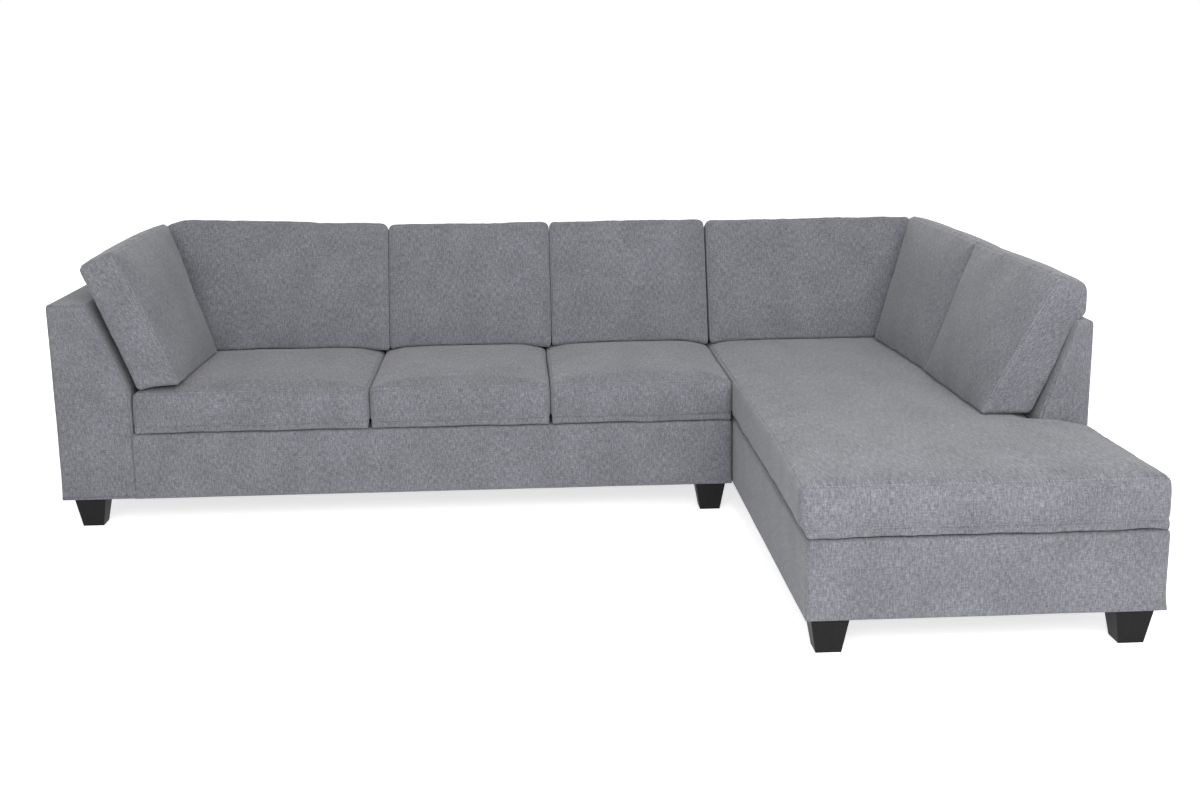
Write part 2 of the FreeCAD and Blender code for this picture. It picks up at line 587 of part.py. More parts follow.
HOOK_FLOOR = "(leg_height - hook_drop)"
LIP = f"({CHAISE_START} + hook_reach)"
hook_outline = [
    (f"{SOFA_END} - hook_flange", "leg_height - hook_plate"),
    (f"{SOFA_END} - hook_flange", "leg_height"),
    (SOFA_END, "leg_height"),
    (SOFA_END, f"{HOOK_FLOOR} + hook_plate"),
    (LIP, f"{HOOK_FLOOR} + hook_plate"),
    (LIP, f"{HOOK_FLOOR} + hook_plate + hook_lip"),
    (f"{LIP} + hook_plate", f"{HOOK_FLOOR} + hook_plate + hook_lip"),
    (f"{LIP} + hook_plate", HOOK_FLOOR),
    (f"{SOFA_END} - hook_plate", HOOK_FLOOR),
    (f"{SOFA_END} - hook_plate", "leg_height - hook_plate"),
]
TONGUE = f"({LIP} - fit - hook_plate)"
tongue_outline = [
    (TONGUE, f"{HOOK_FLOOR} + hook_plate + tongue_gap"),
    (f"{TONGUE} + hook_plate", f"{HOOK_FLOOR} + hook_plate + tongue_gap"),
    (f"{TONGUE} + hook_plate", "leg_height - hook_plate"),
    (f"{TONGUE} + hook_flange", "leg_height - hook_plate"),
    (f"{TONGUE} + hook_flange", "leg_height"),
    (TONGUE, "leg_height"),
]
HOOK_SPOTS = ("hook_spot", "(sofa_depth - hook_spot - hook_width)")
together([prism("front", hook_outline, y, "hook_width") for y in HOOK_SPOTS], "sofa_hooks")
together([prism("front", tongue_outline, y, "hook_width") for y in HOOK_SPOTS], "chaise_tongues")

# Loose cushions: a cover with a foam or fibre core inside. Each is a loft through rounded four-sided
# sections, set along its width. A section has a flat foot, a leaning face and rear, and a square top.

doc.recompute()
CORNER_DEPTH = (math.sqrt(2) - 1) / math.sqrt(2)
END_TURNS = [math.radians(angle) for angle in (0, 35, 62, 90)]
MIDDLE_SHARES = (0.12, 0.3, 0.5, 0.7, 0.88)
LEAST_ROUND = 2
# A crown is part longer sides and part swell of the top. The top keeps a share of its swell at the ends.
CROWN_RISE = 0.4
CROWN_SWELL = 0.6
END_SWELL = 0.6
# How far towards its ends a cushion stays full: a higher number keeps it flatter.
SHORT_FULLNESS = 2.5
LONG_FULLNESS = 5


def section(corners, rounds, swells, to_layout):
    """One closed section: swelling sides joined by round corners, anticlockwise from the lower front."""
    count = len(corners)
    headings = [(corners[(i + 1) % count] - corners[i]).normalize() for i in range(count)]
    edges = []
    for i in range(count):
        after = (i + 1) % count
        here = corners[i] + headings[i] * rounds[i]
        there = corners[after] - headings[i] * rounds[after]
        outward = Vector(headings[i].y, -headings[i].x, 0)
        middle = (here + there) * 0.5 + outward * swells[i]
        turned = corners[after] + headings[after] * rounds[after]
        bend = corners[after] + (there + turned - corners[after] * 2) * CORNER_DEPTH
        if swells[i] > num("fit"):
            edges.append(Part.Arc(to_layout(here), to_layout(middle), to_layout(there)).toShape())
        else:
            edges.append(Part.makeLine(to_layout(here), to_layout(there)))
        edges.append(Part.Arc(to_layout(there), to_layout(bend), to_layout(turned)).toShape())
    return Part.Wire(edges)


def leaning_corners(thick, length, lean, front, rear, top, bottom):
    """Corners of a leaning section, drawn in by the four insets. The lower front corner is the origin."""
    across = Vector(math.cos(lean), -math.sin(lean), 0)
    along = Vector(math.sin(lean), math.cos(lean), 0)

    def foot(offset):
        return across * offset + along * ((bottom + offset * math.sin(lean)) / math.cos(lean))

    high = length - top
    return [foot(front), foot(thick - rear), across * (thick - rear) + along * high,
            across * front + along * high]


def cushion_solid(shape, to_layout, margin):
    """A cushion's solid, drawn in by a margin on every side."""
    width, ends = shape["width"], shape["ends"] - margin
    reach = width - 2 * margin
    edge_steps = [ends * (1 - math.cos(turn)) for turn in END_TURNS]
    stations = edge_steps + [ends + (reach - 2 * ends) * share for share in MIDDLE_SHARES]
    stations += [reach - step for step in reversed(edge_steps)]
    wires = []
    for station in stations:
        edge = min(station, reach - station)
        inset = ends - math.sqrt(ends ** 2 - max(ends - edge, 0) ** 2)
        full = 1 - abs(2 * (station + margin) / width - 1) ** shape["flatness"]
        drawn = margin + inset
        corners = leaning_corners(shape["thick"], shape["length"] + shape["rise"] * full, shape["lean"],
                                  drawn, drawn, drawn, margin)
        front, rear, top = shape["swells"]
        swells = [0, rear * full, top * (END_SWELL + (1 - END_SWELL) * full), front * full]
        rounds = [max(size - margin, LEAST_ROUND) for size in shape["rounds"]]
        wires.append(section(corners, rounds, swells, lambda point: to_layout(margin + station, point)))
    return Part.makeLoft(wires, True, True)


def cushion(label, shape, to_layout, notch=None):
    """The cover and the core of a cushion, and the whole solid for what rests on it."""
    wall = num("cover_wall")
    solids = []
    for margin in (0, wall, wall + num("core_gap")):
        solid = cushion_solid(shape, to_layout, margin)
        if notch:
            solid = solid.cut(notch(margin))
        solids.append(solid)
    outer, hollow, core = solids
    for name, solid in ((f"{label}_cover", outer.cut(hollow)), (f"{label}_core", core)):
        item = doc.addObject("Part::Feature", "Cushion")
        item.Shape = solid
        finish_node(place(item), name)
    return outer


def seat_shape(width, depth, side, crown, front, rear, flatness):
    foot, top = num("seat_foot_round"), num("seat_top_round")
    return {"width": width, "thick": depth, "length": side - num("base_top"), "lean": 0,
            "rise": CROWN_RISE * crown, "ends": num("cushion_round"), "rounds": [foot, foot, top, top],
            "flatness": flatness, "swells": (front, rear, CROWN_SWELL * crown)}


def leaning_shape(width, thick, length, lean):
    foot, top = num("leaning_foot_round"), num("leaning_top_round")
    return {"width": width, "thick": thick, "length": length, "lean": math.radians(lean),
            "rise": num("leaning_rise"), "ends": num("cushion_round"), "rounds": [foot, foot, top, top],
            "flatness": SHORT_FULLNESS,
            "swells": (num("front_crown"), num("rear_crown"), num("leaning_top_swell"))}


def level_under(solids, left, right, front):
    """Height on which a cushion rests over the seat cushions behind a line, with its clearance."""
    deep = num("sofa_depth") - front
    region = Part.makeBox(right - left, deep, num("frame_top"), Vector(left, front, 0))
    parts = [solid.common(region) for solid in solids]
    return max(part.optimalBoundingBox(True).ZMax for part in parts if part.Volume) + num("fit")


gap = num("cushion_gap")
seat_edges = [num("arm_width"), num("seat_split_one"), num("seat_split_two"), num(SOFA_END)]
seat_depth = num(f"{BACK_INNER} - seat_under")
seats = []
for index in range(3):
    left = seat_edges[index] + (gap if index == 0 else gap / 2)
    right = seat_edges[index + 1] - gap / 2

    def seat_place(along, point, left=left):
        return Vector(left + along, point.x, num("base_top") + num("fit") + point.y)

    shape = seat_shape(right - left, seat_depth, num("seat_side"), num("seat_crown"), num("seat_nose"), 0,
                       SHORT_FULLNESS)
    seats.append(cushion(f"seat_cushion_{index + 1}", shape, seat_place))

chaise_left = num(CHAISE_START) + gap / 2
chaise_nose = num(f"{CHAISE_FRONT} - seat_nose")


def chaise_place(along, point):
    return Vector(chaise_left + point.x, chaise_nose + along, num("base_top") + num("fit") + point.y)


def panel_notch(margin):
    size = num("sofa_depth")
    return Part.makeBox(size, 2 * size, size, Vector(num(SIDE_INNER) - gap - margin,
                                                     num(SIDE_FRONT) - gap - margin, 0))


side_swell = num("chaise_side_swell")
chaise_shape = seat_shape(seat_depth - chaise_nose, num("overall_width - seat_nose") - chaise_left,
                          num("chaise_side"), num("chaise_crown"), side_swell, side_swell, LONG_FULLNESS)
chaise_seat = cushion("chaise_cushion", chaise_shape, chaise_place, panel_notch)

back_edges = [num("arm_width"), num("back_split_one"), num("back_split_two"), num(SOFA_END)]
back_spans = [(back_edges[i] + (gap if i == 0 else gap / 2), back_edges[i + 1] - gap / 2) for i in range(3)]
back_spans.append((num(CHAISE_START) + gap, num(SIDE_INNER) - gap))
face = num("sofa_depth - back_room")
for index, (left, right) in enumerate(back_spans):
    rest = level_under(seats if index < 3 else [chaise_seat], left, right, face)

    def back_place(along, point, left=left, rest=rest):
        return Vector(left + along, face + point.x, rest + point.y)

    shape = leaning_shape(right - left, num("back_thick"), num("back_length"), num("back_lean"))
    cushion(f"back_cushion_{index + 1}", shape, back_place)

# The rear ends of the arm cushion and the rear side cushion follow the lean of the back cushions.
back_slope = math.tan(math.radians(num("back_lean")))
corner_end = face - num("corner_gap")


def standing_cushion(label, front, end, foot, direction, shape, seat, slanted):
    """A cushion that stands along Y and leans outwards; direction is -1 for the arm, 1 for the side."""
    reach = shape["thick"] / math.cos(shape["lean"])
    near, far = sorted((foot, foot + direction * reach))
    rest = level_under([seat], near, far, front)

    def standing_place(along, point):
        lag = back_slope * point.y * along / shape["width"] if slanted else 0
        return Vector(foot + direction * point.x, front + along + lag, rest + point.y)

    cushion(label, shape, standing_place)


arm_front = num("arm_cushion_front")
arm_shape = leaning_shape(corner_end - arm_front, num("arm_cushion_thick"), num("arm_cushion_length"),
                          num("arm_lean"))
arm_foot = num("arm_cushion_foot") + arm_shape["thick"] / math.cos(arm_shape["lean"])
standing_cushion("arm_cushion", arm_front, corner_end, arm_foot, -1, arm_shape, seats[0], True)

split = num("side_split")
for label, front, end, slanted in (("side_cushion_rear", split + gap / 2, corner_end, True),
                                   ("side_cushion_front", num("side_cushion_front"), split - gap / 2, False)):
    side_shape = leaning_shape(end - front, num("side_cushion_thick"), num("side_cushion_length"),
                               num("back_lean"))
    side_foot = num(f"{SIDE_INNER} - side_cushion_room") - side_shape["thick"] / math.cos(side_shape["lean"])
    standing_cushion(label, front, end, side_foot, 1, side_shape, chaise_seat, slanted)

# Check every object and write each sub-part out.

doc.recompute()
for item in doc.Objects:
    if {"Invalid", "Error"} & set(item.State):
        raise RuntimeError(f"{item.Name} ({item.Label}) failed: {item.State}")
os.makedirs("parts", exist_ok=True)
for item in sub_parts:
    solid = item.Shape
    if solid.isNull() or not solid.isValid() or not solid.Solids:
        raise RuntimeError(f"{item.Label} has no valid solid")
    solid.exportStep(f"parts/{item.Label}.step")
print(len(sub_parts), "sub-parts")
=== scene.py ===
"""Looks of a corner sofa with a chaise: loose box cushions on two upholstered units.

Lengths are in metres.
"""
import math

import bmesh
import bpy
import numpy as np
from mathutils import Matrix, Vector, noise
from mathutils.kdtree import KDTree


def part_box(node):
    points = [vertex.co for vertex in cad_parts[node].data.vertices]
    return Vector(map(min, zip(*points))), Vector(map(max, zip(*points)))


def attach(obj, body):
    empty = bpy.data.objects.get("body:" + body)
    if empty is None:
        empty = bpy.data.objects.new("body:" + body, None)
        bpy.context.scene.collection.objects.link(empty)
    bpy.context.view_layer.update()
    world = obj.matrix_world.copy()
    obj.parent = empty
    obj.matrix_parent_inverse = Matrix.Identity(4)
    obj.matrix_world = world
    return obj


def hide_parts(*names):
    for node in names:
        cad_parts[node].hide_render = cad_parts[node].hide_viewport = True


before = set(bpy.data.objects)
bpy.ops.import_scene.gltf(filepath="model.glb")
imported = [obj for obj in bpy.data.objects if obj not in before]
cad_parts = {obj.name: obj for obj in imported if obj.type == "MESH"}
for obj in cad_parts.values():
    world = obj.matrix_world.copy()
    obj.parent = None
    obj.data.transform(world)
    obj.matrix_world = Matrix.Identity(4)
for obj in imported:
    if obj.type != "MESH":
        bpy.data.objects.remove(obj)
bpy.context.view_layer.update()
scene = bpy.context.scene

# Sizes of the real sofa that the frame's boxes don't give.
BACK_LEAN = math.radians(20)
ARM_LEAN = math.radians(22.5)
BACK_THICK = 0.120
BACK_LENGTH = 0.450
ARM_THICK = 0.124
ARM_LENGTH = 0.462
ARM_CUSHION_FOOT = 0.396     # arm's outer face to the cushion's lower edge
SIDE_THICK = 0.132
SIDE_LENGTH = 0.446
SIDE_LEAN = math.radians(20.5)
SIDE_GAP = 0.016             # between the side panel's slope and a side cushion's foot
SEAT_SIDE = 0.438            # height of a seat cushion's side edges above the floor
SLOPE_START = 0.445          # height where the inner faces of arm and back start to lean
ARM_FOOT, ARM_TOP = 0.237, 0.123
BACK_FOOT, BACK_TOP = 0.142, 0.044
SIDE_FOOT, SIDE_TOP = 0.144, 0.048
PADDING = 0.012              # padding and fabric over the frame
TUCK = 0.009                 # how far the rail's fabric runs in behind the arm's
SHELL = 0.009                # what shows of that padding, clear of the wood
MITRE_GAP = 0.0005           # between two covers that meet in a sloped seam
DECK = 0.0015                # deck cloth under the cushions
DECK_MARGIN = 0.02           # padding that runs in over the edge of a deck
SEEN_BEHIND = 0.05           # stretch of a hidden face that stays behind a visible edge
COVER_SWELL = 0.0015
SEAM_LINE = 0.0036           # from a seam to the next line of the mesh
SEAM_DEPTH = 0.0042          # how far the thread draws a seam in
LIP = 0.026                  # lower seam of a seat cushion above its underside
LIP_ROLL = 0.005             # how far the cloth below that seam swells forward
CLOTH_STEP = 0.0135          # between the lines of a cushion's mesh
FACE_ROOM = 0.028            # what a back cushion's crown takes in front of its seams
SLUMP = 0.028                # how far the corner of back cushion 1 sinks beside the arm
CLEAR = 0.0012               # between a cushion and what it rests on
TOUCH = 0.0010               # how far a cushion swells into the gap beside it
SIDE_SWELL = 0.005           # how far the side of a cushion swells
HUG = 0.005                  # between a leaning cushion and the slope behind it
SEAT_SLIDE = 0.78            # how far a seat cushion pulls out, and a little more
DROOP = 0.010                # how far the front lip of a seat cushion hangs
CHAISE_SWELL = 0.020         # how far the chaise cushion's free side bulges
CHAISE_ROOM = 0.003          # between the chaise cushion and the side panel
NOTCH_ROUND = 0.022          # rounding of the chaise cushion's notch
LEVEL_YARNS = 0.45           # yarns on level faces are drawn longer, to show at a low angle
STITCH_PITCH = 0.0085        # drawn coarser than the real 4 mm so that it shows
STITCH_LENGTH = 0.0058
STITCH_WIDTH = 0.0013
THREAD_RISE = 0.0002
SPRING_COUNT = 13            # zigzag springs in each unit
SPRING_PITCH = 0.036
SPRING_WIDTH = 0.060
SPRING_WIRE_RADIUS = 0.002
CLIP_TAB = 0.020
RAIL_WIDTH = 0.05
LEG_REACH = 0.2              # points this near belong to the same leg
DUST_SAG = 0.005             # cloth under a base, between its rails
DUST_STEP = 0.03
STAPLE_EDGE = 0.012          # from the cloth's edge to its staples
STAPLE_ROOM = 0.010          # between a staple and what covers the edge
STAPLE_PITCH = 0.045
STAPLE_CROWN = 0.011
STAPLE_WIRE = 0.0013
# Gathers beside a seam: strength, length along it, depth across it and shift of the seed.
GATHERS = ((1.0, 0.019, 0.07, 0), (0.6, 0.050, 0.12, 7))
STUFFING_FRAMES = 20


# ---------------- shading

def tone(hexa):
    """A written sRGB colour as linear red, green, blue and alpha."""
    parts = [int(hexa[i:i + 2], 16) / 255 for i in (1, 3, 5)]
    return tuple(c / 12.92 if c <= 0.04045 else ((c + 0.055) / 1.055) ** 2.4 for c in parts) + (1,)


def add(tree, kind, links=(), **settings):
    """Adds a node, sets its properties or inputs, and links (input, socket) pairs to it."""
    node = tree.nodes.new(kind)
    for key, value in settings.items():
        if hasattr(node, key):
            setattr(node, key, value)
        else:
            node.inputs[key.replace("_", " ")].default_value = value
    for name, source in links:
        tree.links.new(source, node.inputs[name])
    return node


def material(name, **principled):
    """A new material with its tree and its surface shader."""
    made = bpy.data.materials.new(name)
    made.use_nodes = True
    tree = made.node_tree
    shader = tree.nodes["Principled BSDF"]
    for key, value in principled.items():
        shader.inputs[key.replace("_", " ")].default_value = value
    return made, tree, shader


def ramp(tree, source, stops):
    """A colour ramp over a value, from (place, hex) stops."""
    node = add(tree, "ShaderNodeValToRGB", [("Fac", source)])
    elements = node.color_ramp.elements
    while len(elements) < len(stops):
        elements.new(0.5)
    for element, (place, hexa) in zip(elements, stops):
        element.position = place
        element.color = tone(hexa)
    return node.outputs["Color"]


def blend_colours(tree, first, second, amount, way="MIX"):
    """Two colours mixed in a given way."""
    node = add(tree, "ShaderNodeMix", data_type="RGBA", blend_type=way)
    node.inputs[0].default_value = amount
    tree.links.new(first, node.inputs[6])
    tree.links.new(second, node.inputs[7])
    return node.outputs[2]


def upholstery():
    """Chenille-faced polyester weave in a grey melange: pale and dark yarns, soft pile, a dull sheen."""
    made, tree, shader = material("chenille_melange_weave", Roughness=0.92, Sheen_Weight=0.22,
                                  Sheen_Roughness=0.5, Specular_IOR_Level=0.25)
    cloth = add(tree, "ShaderNodeUVMap", uv_map="weave").outputs["UV"]

    def yarns(across, along, detail=2.0, rough=0.55):
        """Noise in streaks: their width across the warp and their length along it, in metres."""
        spread = add(tree, "ShaderNodeMapping", [("Vector", cloth)], Scale=(1 / across, 1 / along, 1))
        return add(tree, "ShaderNodeTexNoise", [("Vector", spread.outputs["Vector"])], Scale=1.0,
                   Detail=detail, Roughness=rough).outputs["Fac"]

    greys = [(0.36, "#54555b"), (0.50, "#727378"), (0.64, "#94959c")]
    warp_yarns = ramp(tree, yarns(0.0036, 0.017, 3.0, 0.6), greys)
    weft_yarns = ramp(tree, yarns(0.013, 0.0036, 3.0, 0.6), greys)
    flecks = ramp(tree, yarns(0.0024, 0.0036), [(0.34, "#505157"), (0.50, "#747579"), (0.66, "#9a9ba2")])
    fabric = blend_colours(tree, warp_yarns, weft_yarns, 0.42)
    fabric = blend_colours(tree, fabric, flecks, 0.28)
    patches = ramp(tree, yarns(0.11, 0.16), [(0.35, "#efefef"), (0.65, "#ffffff")])
    fabric = blend_colours(tree, fabric, patches, 1.0, "MULTIPLY")
    heather = ramp(tree, yarns(0.008, 0.022, 2.0), [(0.34, "#eeeeef"), (0.66, "#ffffff")])
    fabric = blend_colours(tree, fabric, heather, 1.0, "MULTIPLY")
    tree.links.new(fabric, shader.inputs["Base Color"])
    per_thread = 1 / 0.0024
    weave = add(tree, "ShaderNodeMapping", [("Vector", cloth)], Scale=(per_thread, per_thread, 1))
    warp, weft = (add(tree, "ShaderNodeTexWave", [("Vector", weave.outputs["Vector"])],
                      bands_direction=way, Scale=1.0, Distortion=1.5, Detail=1.0) for way in "XY")
    threads = add(tree, "ShaderNodeMath", [(0, warp.outputs["Fac"]), (1, weft.outputs["Fac"])],
                  operation="MULTIPLY")
    pile = add(tree, "ShaderNodeBump", [("Height", threads.outputs["Value"])],
               Strength=0.35, Distance=0.0005)
    slub = add(tree, "ShaderNodeBump", [("Height", yarns(0.0035, 0.018)), ("Normal", pile.outputs["Normal"])],
               Strength=0.5, Distance=0.0009)
    tree.links.new(slub.outputs["Normal"], shader.inputs["Normal"])
    return made


def grained(name, dark, light, grain, roughness, bump, strength=0.3, **more):
    """A material with an uneven colour over its own object: grain gives its size along x, y and z."""
    made, tree, shader = material(name, Roughness=roughness, **more)
    place = add(tree, "ShaderNodeTexCoord").outputs["Object"]
    spread = add(tree, "ShaderNodeMapping", [("Vector", place)], Scale=tuple(1 / size for size in grain))
    pattern = add(tree, "ShaderNodeTexNoise", [("Vector", spread.outputs["Vector"])],
                  Scale=1.0, Detail=4.0, Roughness=0.6).outputs["Fac"]
    tree.links.new(ramp(tree, pattern, [(0.32, dark), (0.68, light)]), shader.inputs["Base Color"])
    relief = add(tree, "ShaderNodeBump", [("Height", pattern)], Strength=strength, Distance=bump)
    tree.links.new(relief.outputs["Normal"], shader.inputs["Normal"])
    return made


FABRIC = upholstery()
# Bonded polyester thread: a shade lighter than the fabric, faintly glossy.
THREAD = grained("bonded_polyester_thread", "#85868d", "#9c9da4", 3 * (0.001,), 0.55, 0.0001)
# Spunbond polypropylene cloth: black, matt, felted dots.
DUST_CLOTH = grained("spunbond_polypropylene", "#141416", "#26262a", 3 * (0.0015,), 0.9, 0.0002)
# Planed softwood: pale, with long grain along its boards.
SOFTWOOD = grained("planed_pine", "#a9814f", "#d0ab7a", (0.10, 0.012, 0.012), 0.7, 0.0004)
# Pressed hardboard: brown, smooth with fine flecks.
HARDBOARD = grained("pressed_hardboard", "#5f432b", "#7d5b3c", 3 * (0.004,), 0.6, 0.0002)
# Beech under black satin lacquer: faint open grain.
LACQUER = grained("black_satin_lacquer_on_beech", "#0b0b0c", "#121213", (0.02, 0.02, 0.09), 0.55,
                  0.00015, Specular_IOR_Level=0.18)
# Drawn spring wire: dark bright steel with an oily haze.
SPRING_WIRE = grained("drawn_spring_steel", "#4f5052", "#77787b", 3 * (0.03,), 0.38, 0.0001, Metallic=1.0)
# Zinc-plated pressed steel: pale, cloudy.
ZINC = grained("zinc_plated_steel", "#9d9fa3", "#bfc2c6", 3 * (0.012,), 0.34, 0.0001, Metallic=1.0)
# Moulded polypropylene clips: off-white, satin.
CLIP = grained("moulded_polypropylene", "#d2d1ca", "#e3e2dc", 3 * (0.006,), 0.5, 0.0001)
# Needled reprocessed felt: grey with coloured fibres.
FELT = grained("needled_felt", "#57564f", "#8b8a83", (0.004, 0.004, 0.002), 0.95, 0.0008)

FINISHES = {"frame_wood": SOFTWOOD, "hardboard": HARDBOARD, "leg_black": LACQUER, "felt": FELT,
            "spring_steel": SPRING_WIRE, "zinc_steel": ZINC, "clip_plastic": CLIP, "dust_cloth": DUST_CLOTH,
            "upholstery": FABRIC, "foam": FELT, "fibre_filling": FELT}
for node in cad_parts.values():
    for holder in node.material_slots:
        holder.material = FINISHES[holder.material.name.split(".")[0]]


# ---------------- sewn boxes

def grid_lines(length, radius, step):
    """Lines along one side of a rounded box: (share of the flat part, turn in degrees round the edge)."""
    seam_turn = max(20, 45 - math.degrees(SEAM_LINE / radius))
    flat = max(2, round((length - 2 * radius) / step))
    turns = [t for t in (15, 30) if t < seam_turn - 5] + [seam_turn, 45]
    lines = [(-1, -turn) for turn in reversed(turns)]
    lines += [(2 * i / flat - 1, 0) for i in range(flat + 1)]
    return lines + [(1, turn) for turn in turns]


class SewnBox:
    """A rounded box as a closed grid. Lines 0 and -1 on each axis are its edges, where panels are sewn."""

    def __init__(self, size, foot, side, top, step, seams_at=()):
        """foot, side and top round its edges from below; seams_at adds seams as (axis, height)."""
        self.size = Vector(size)
        self.lines = [grid_lines(size[axis], side, step) for axis in range(3)]
        for axis, height in seams_at:
            self._add_line(axis, height, foot, side, top)
        self.shape = [len(lines) for lines in self.lines]
        self.number, self.faces, self.sides = {}, [], []
        for axis in range(3):
            across, along = (axis + 1) % 3, (axis + 2) % 3
            for end in (0, self.shape[axis] - 1):
                for i in range(self.shape[across] - 1):
                    for j in range(self.shape[along] - 1):
                        face = []
                        for di, dj in ((0, 0), (1, 0), (1, 1), (0, 1)):
                            spot = [end, end, end]
                            spot[across], spot[along] = i + di, j + dj
                            face.append(self.number.setdefault(tuple(spot), len(self.number)))
                        self.faces.append(face if end else face[::-1])
                        self.sides.append(2 * axis + bool(end))
        spots = np.array(list(self.number), int)
        lines = [np.array(pairs, float) for pairs in self.lines]
        share, turn = (np.stack([lines[a][spots[:, a], part] for a in range(3)], 1) for part in (0, 1))
        radius = np.interp(share[:, 2:3], (-1, -0.8, 0.8, 1), (foot, side, side, top))
        facing = np.tan(np.radians(turn))
        facing /= np.linalg.norm(facing, axis=1)[:, None]
        half = np.array(size) / 2
        self.co = share * (half - radius) + facing * radius + half
        self.unfolded = share * (half - radius) + np.radians(turn) * radius + half
        self.share = self.co / half - 1

    def _add_line(self, axis, height, foot, radius, top):
        """Puts a line at a seam's height, with a close line on each side of it, in place of those near it."""
        half = self.size[axis] / 2
        shares = np.linspace(-0.98, 0.98, 393)
        rounding = np.interp(shares, (-1, -0.8, 0.8, 1), (foot, radius, radius, top))
        share = float(shares[np.argmin(np.abs(shares * (half - rounding) + half - height))])
        lines = self.lines[axis]
        close = SEAM_LINE / half
        before = [line for line in lines if line < (share - 2 * close, 0)]
        after = [line for line in lines if line > (share + 2 * close, 0)]
        lines[:] = before + [(share - close, 0), (share, 0), (share + close, 0)] + after
        self.seam_line = len(before) + 1

    def ring(self, axis, line, inset=0):
        """Numbers of the vertices round the box on one line, or inset on the panel that the line bounds."""
        line %= self.shape[axis]
        across, along = (axis + 1) % 3, (axis + 2) % 3
        wide, high = self.shape[across] - 1 - inset, self.shape[along] - 1 - inset
        loop = [(i, inset) for i in range(inset, wide)] + [(wide, j) for j in range(inset, high)]
        loop += [(i, high) for i in range(wide, inset, -1)] + [(inset, j) for j in range(high, inset, -1)]
        numbers = []
        for i, j in loop:
            spot = [line, line, line]
            spot[across], spot[along] = i, j
            numbers.append(self.number[tuple(spot)])
        return numbers

    def bulge(self, axis, end, amount, flatness=2.5):
        """Swells one face outwards, most at its middle, by moving what lies on its half of the box."""
        others = [a for a in range(3) if a != axis]
        full = np.ones(len(self.co))
        for other in others:
            full *= 1 - np.clip(np.abs(self.share[:, other]), 0, 1) ** flatness
        reach = np.clip(self.share[:, axis] * (1 if end else -1), 0, 1)
        self.co[:, axis] += (1 if end else -1) * amount * full * reach ** 2 * (3 - 2 * reach)

    def normals(self):
        """Unit normal at each vertex, from the faces round it."""
        faces = np.array(self.faces)
        a, b, c, d = (self.co[faces[:, i]] for i in range(4))
        flat = np.cross(c - a, d - b)
        total = np.zeros_like(self.co)
        for i in range(4):
            np.add.at(total, faces[:, i], flat)
        return total / np.maximum(np.linalg.norm(total, axis=1), 1e-12)[:, None]

    def pucker(self, rings, height, reach, seed):
        """Short gathers square to the seams, and the seams themselves drawn in."""
        out = self.normals()
        tree = KDTree(sum(len(ring) for ring in rings))
        along, total = [], 0
        for ring in rings:
            path = self.co[ring]
            steps = np.linalg.norm(path - np.roll(path, 1, 0), axis=1)
            for vertex, step in zip(ring, steps):
                total += step
                tree.insert(self.co[vertex], len(along))
                along.append(total)
        tree.balance()
        lift = np.zeros(len(self.co))
        for number, point in enumerate(self.co):
            _, index, distance = tree.find(point)
            fade = math.exp(-(distance / reach) ** 2)
            if fade > 0.02:
                at = along[index]
                wave = sum(strength * noise.noise(Vector((at / length, distance / depth, seed + shift)))
                           for strength, length, depth, shift in GATHERS)
                lift[number] = height * fade * wave
        self.co += out * lift[:, None]
        for ring in rings:
            self.co[ring] -= out[ring] * SEAM_DEPTH

    def ripple(self, height, size, seed):
        """Slow unevenness of the filling."""
        out = self.normals()
        waves = [noise.noise(Vector(point) / size + Vector((seed, 2 * seed, 0))) for point in self.co]
        self.co += out * (height * np.array(waves))[:, None]


def eased_in(value, start, end):
    """A smooth step from 0 at start to 1 at end."""
    share = np.clip((value - start) / (end - start), 0, 1)
    return share * share * (3 - 2 * share)


def mesh_object(name, co, faces):
    """A smooth mesh object from points and faces."""
    mesh = bpy.data.meshes.new(name)
    mesh.from_pydata([tuple(p) for p in co], [], faces)
    mesh.polygons.foreach_set("use_smooth", [True] * len(faces))
    obj = bpy.data.objects.new(name, mesh)
    scene.collection.objects.link(obj)
    return obj


def lay_weave(obj, box, sides, faces, seed):
    """The cloth's own map in metres: the warp runs up the fronts and from front to back on the tops.

    Each panel is cut from a place of its own in the cloth."""
    uses = {0: (1, 2), 1: (0, 2), 2: (0, 1)}
    layer = obj.data.uv_layers.new(name="weave")
    values = []
    for side, face in zip(sides, faces):
        across, along = uses[side // 2]
        for vertex in face:
            place = box.unfolded[vertex]
            stretch = LEVEL_YARNS if side // 2 == 2 else 1
            values += [place[across] + 3.1 * side + 0.73 * seed,
                       place[along] * stretch + 1.7 * side + 0.31 * seed]
    layer.data.foreach_set("uv", values)


def applied(obj):
    """Replaces an object's mesh by its modified one."""
    depsgraph = bpy.context.evaluated_depsgraph_get()
    made = bpy.data.meshes.new_from_object(obj.evaluated_get(depsgraph))
    obj.modifiers.clear()
    old, obj.data = obj.data, made
    bpy.data.meshes.remove(old)
    return obj


def subdivide(obj):
    """Adds one smooth subdivision that keeps the corners of open edges."""
    smooth = obj.modifiers.new("finish", "SUBSURF")
    smooth.levels = smooth.render_levels = 1
    smooth.boundary_smooth = "PRESERVE_CORNERS"


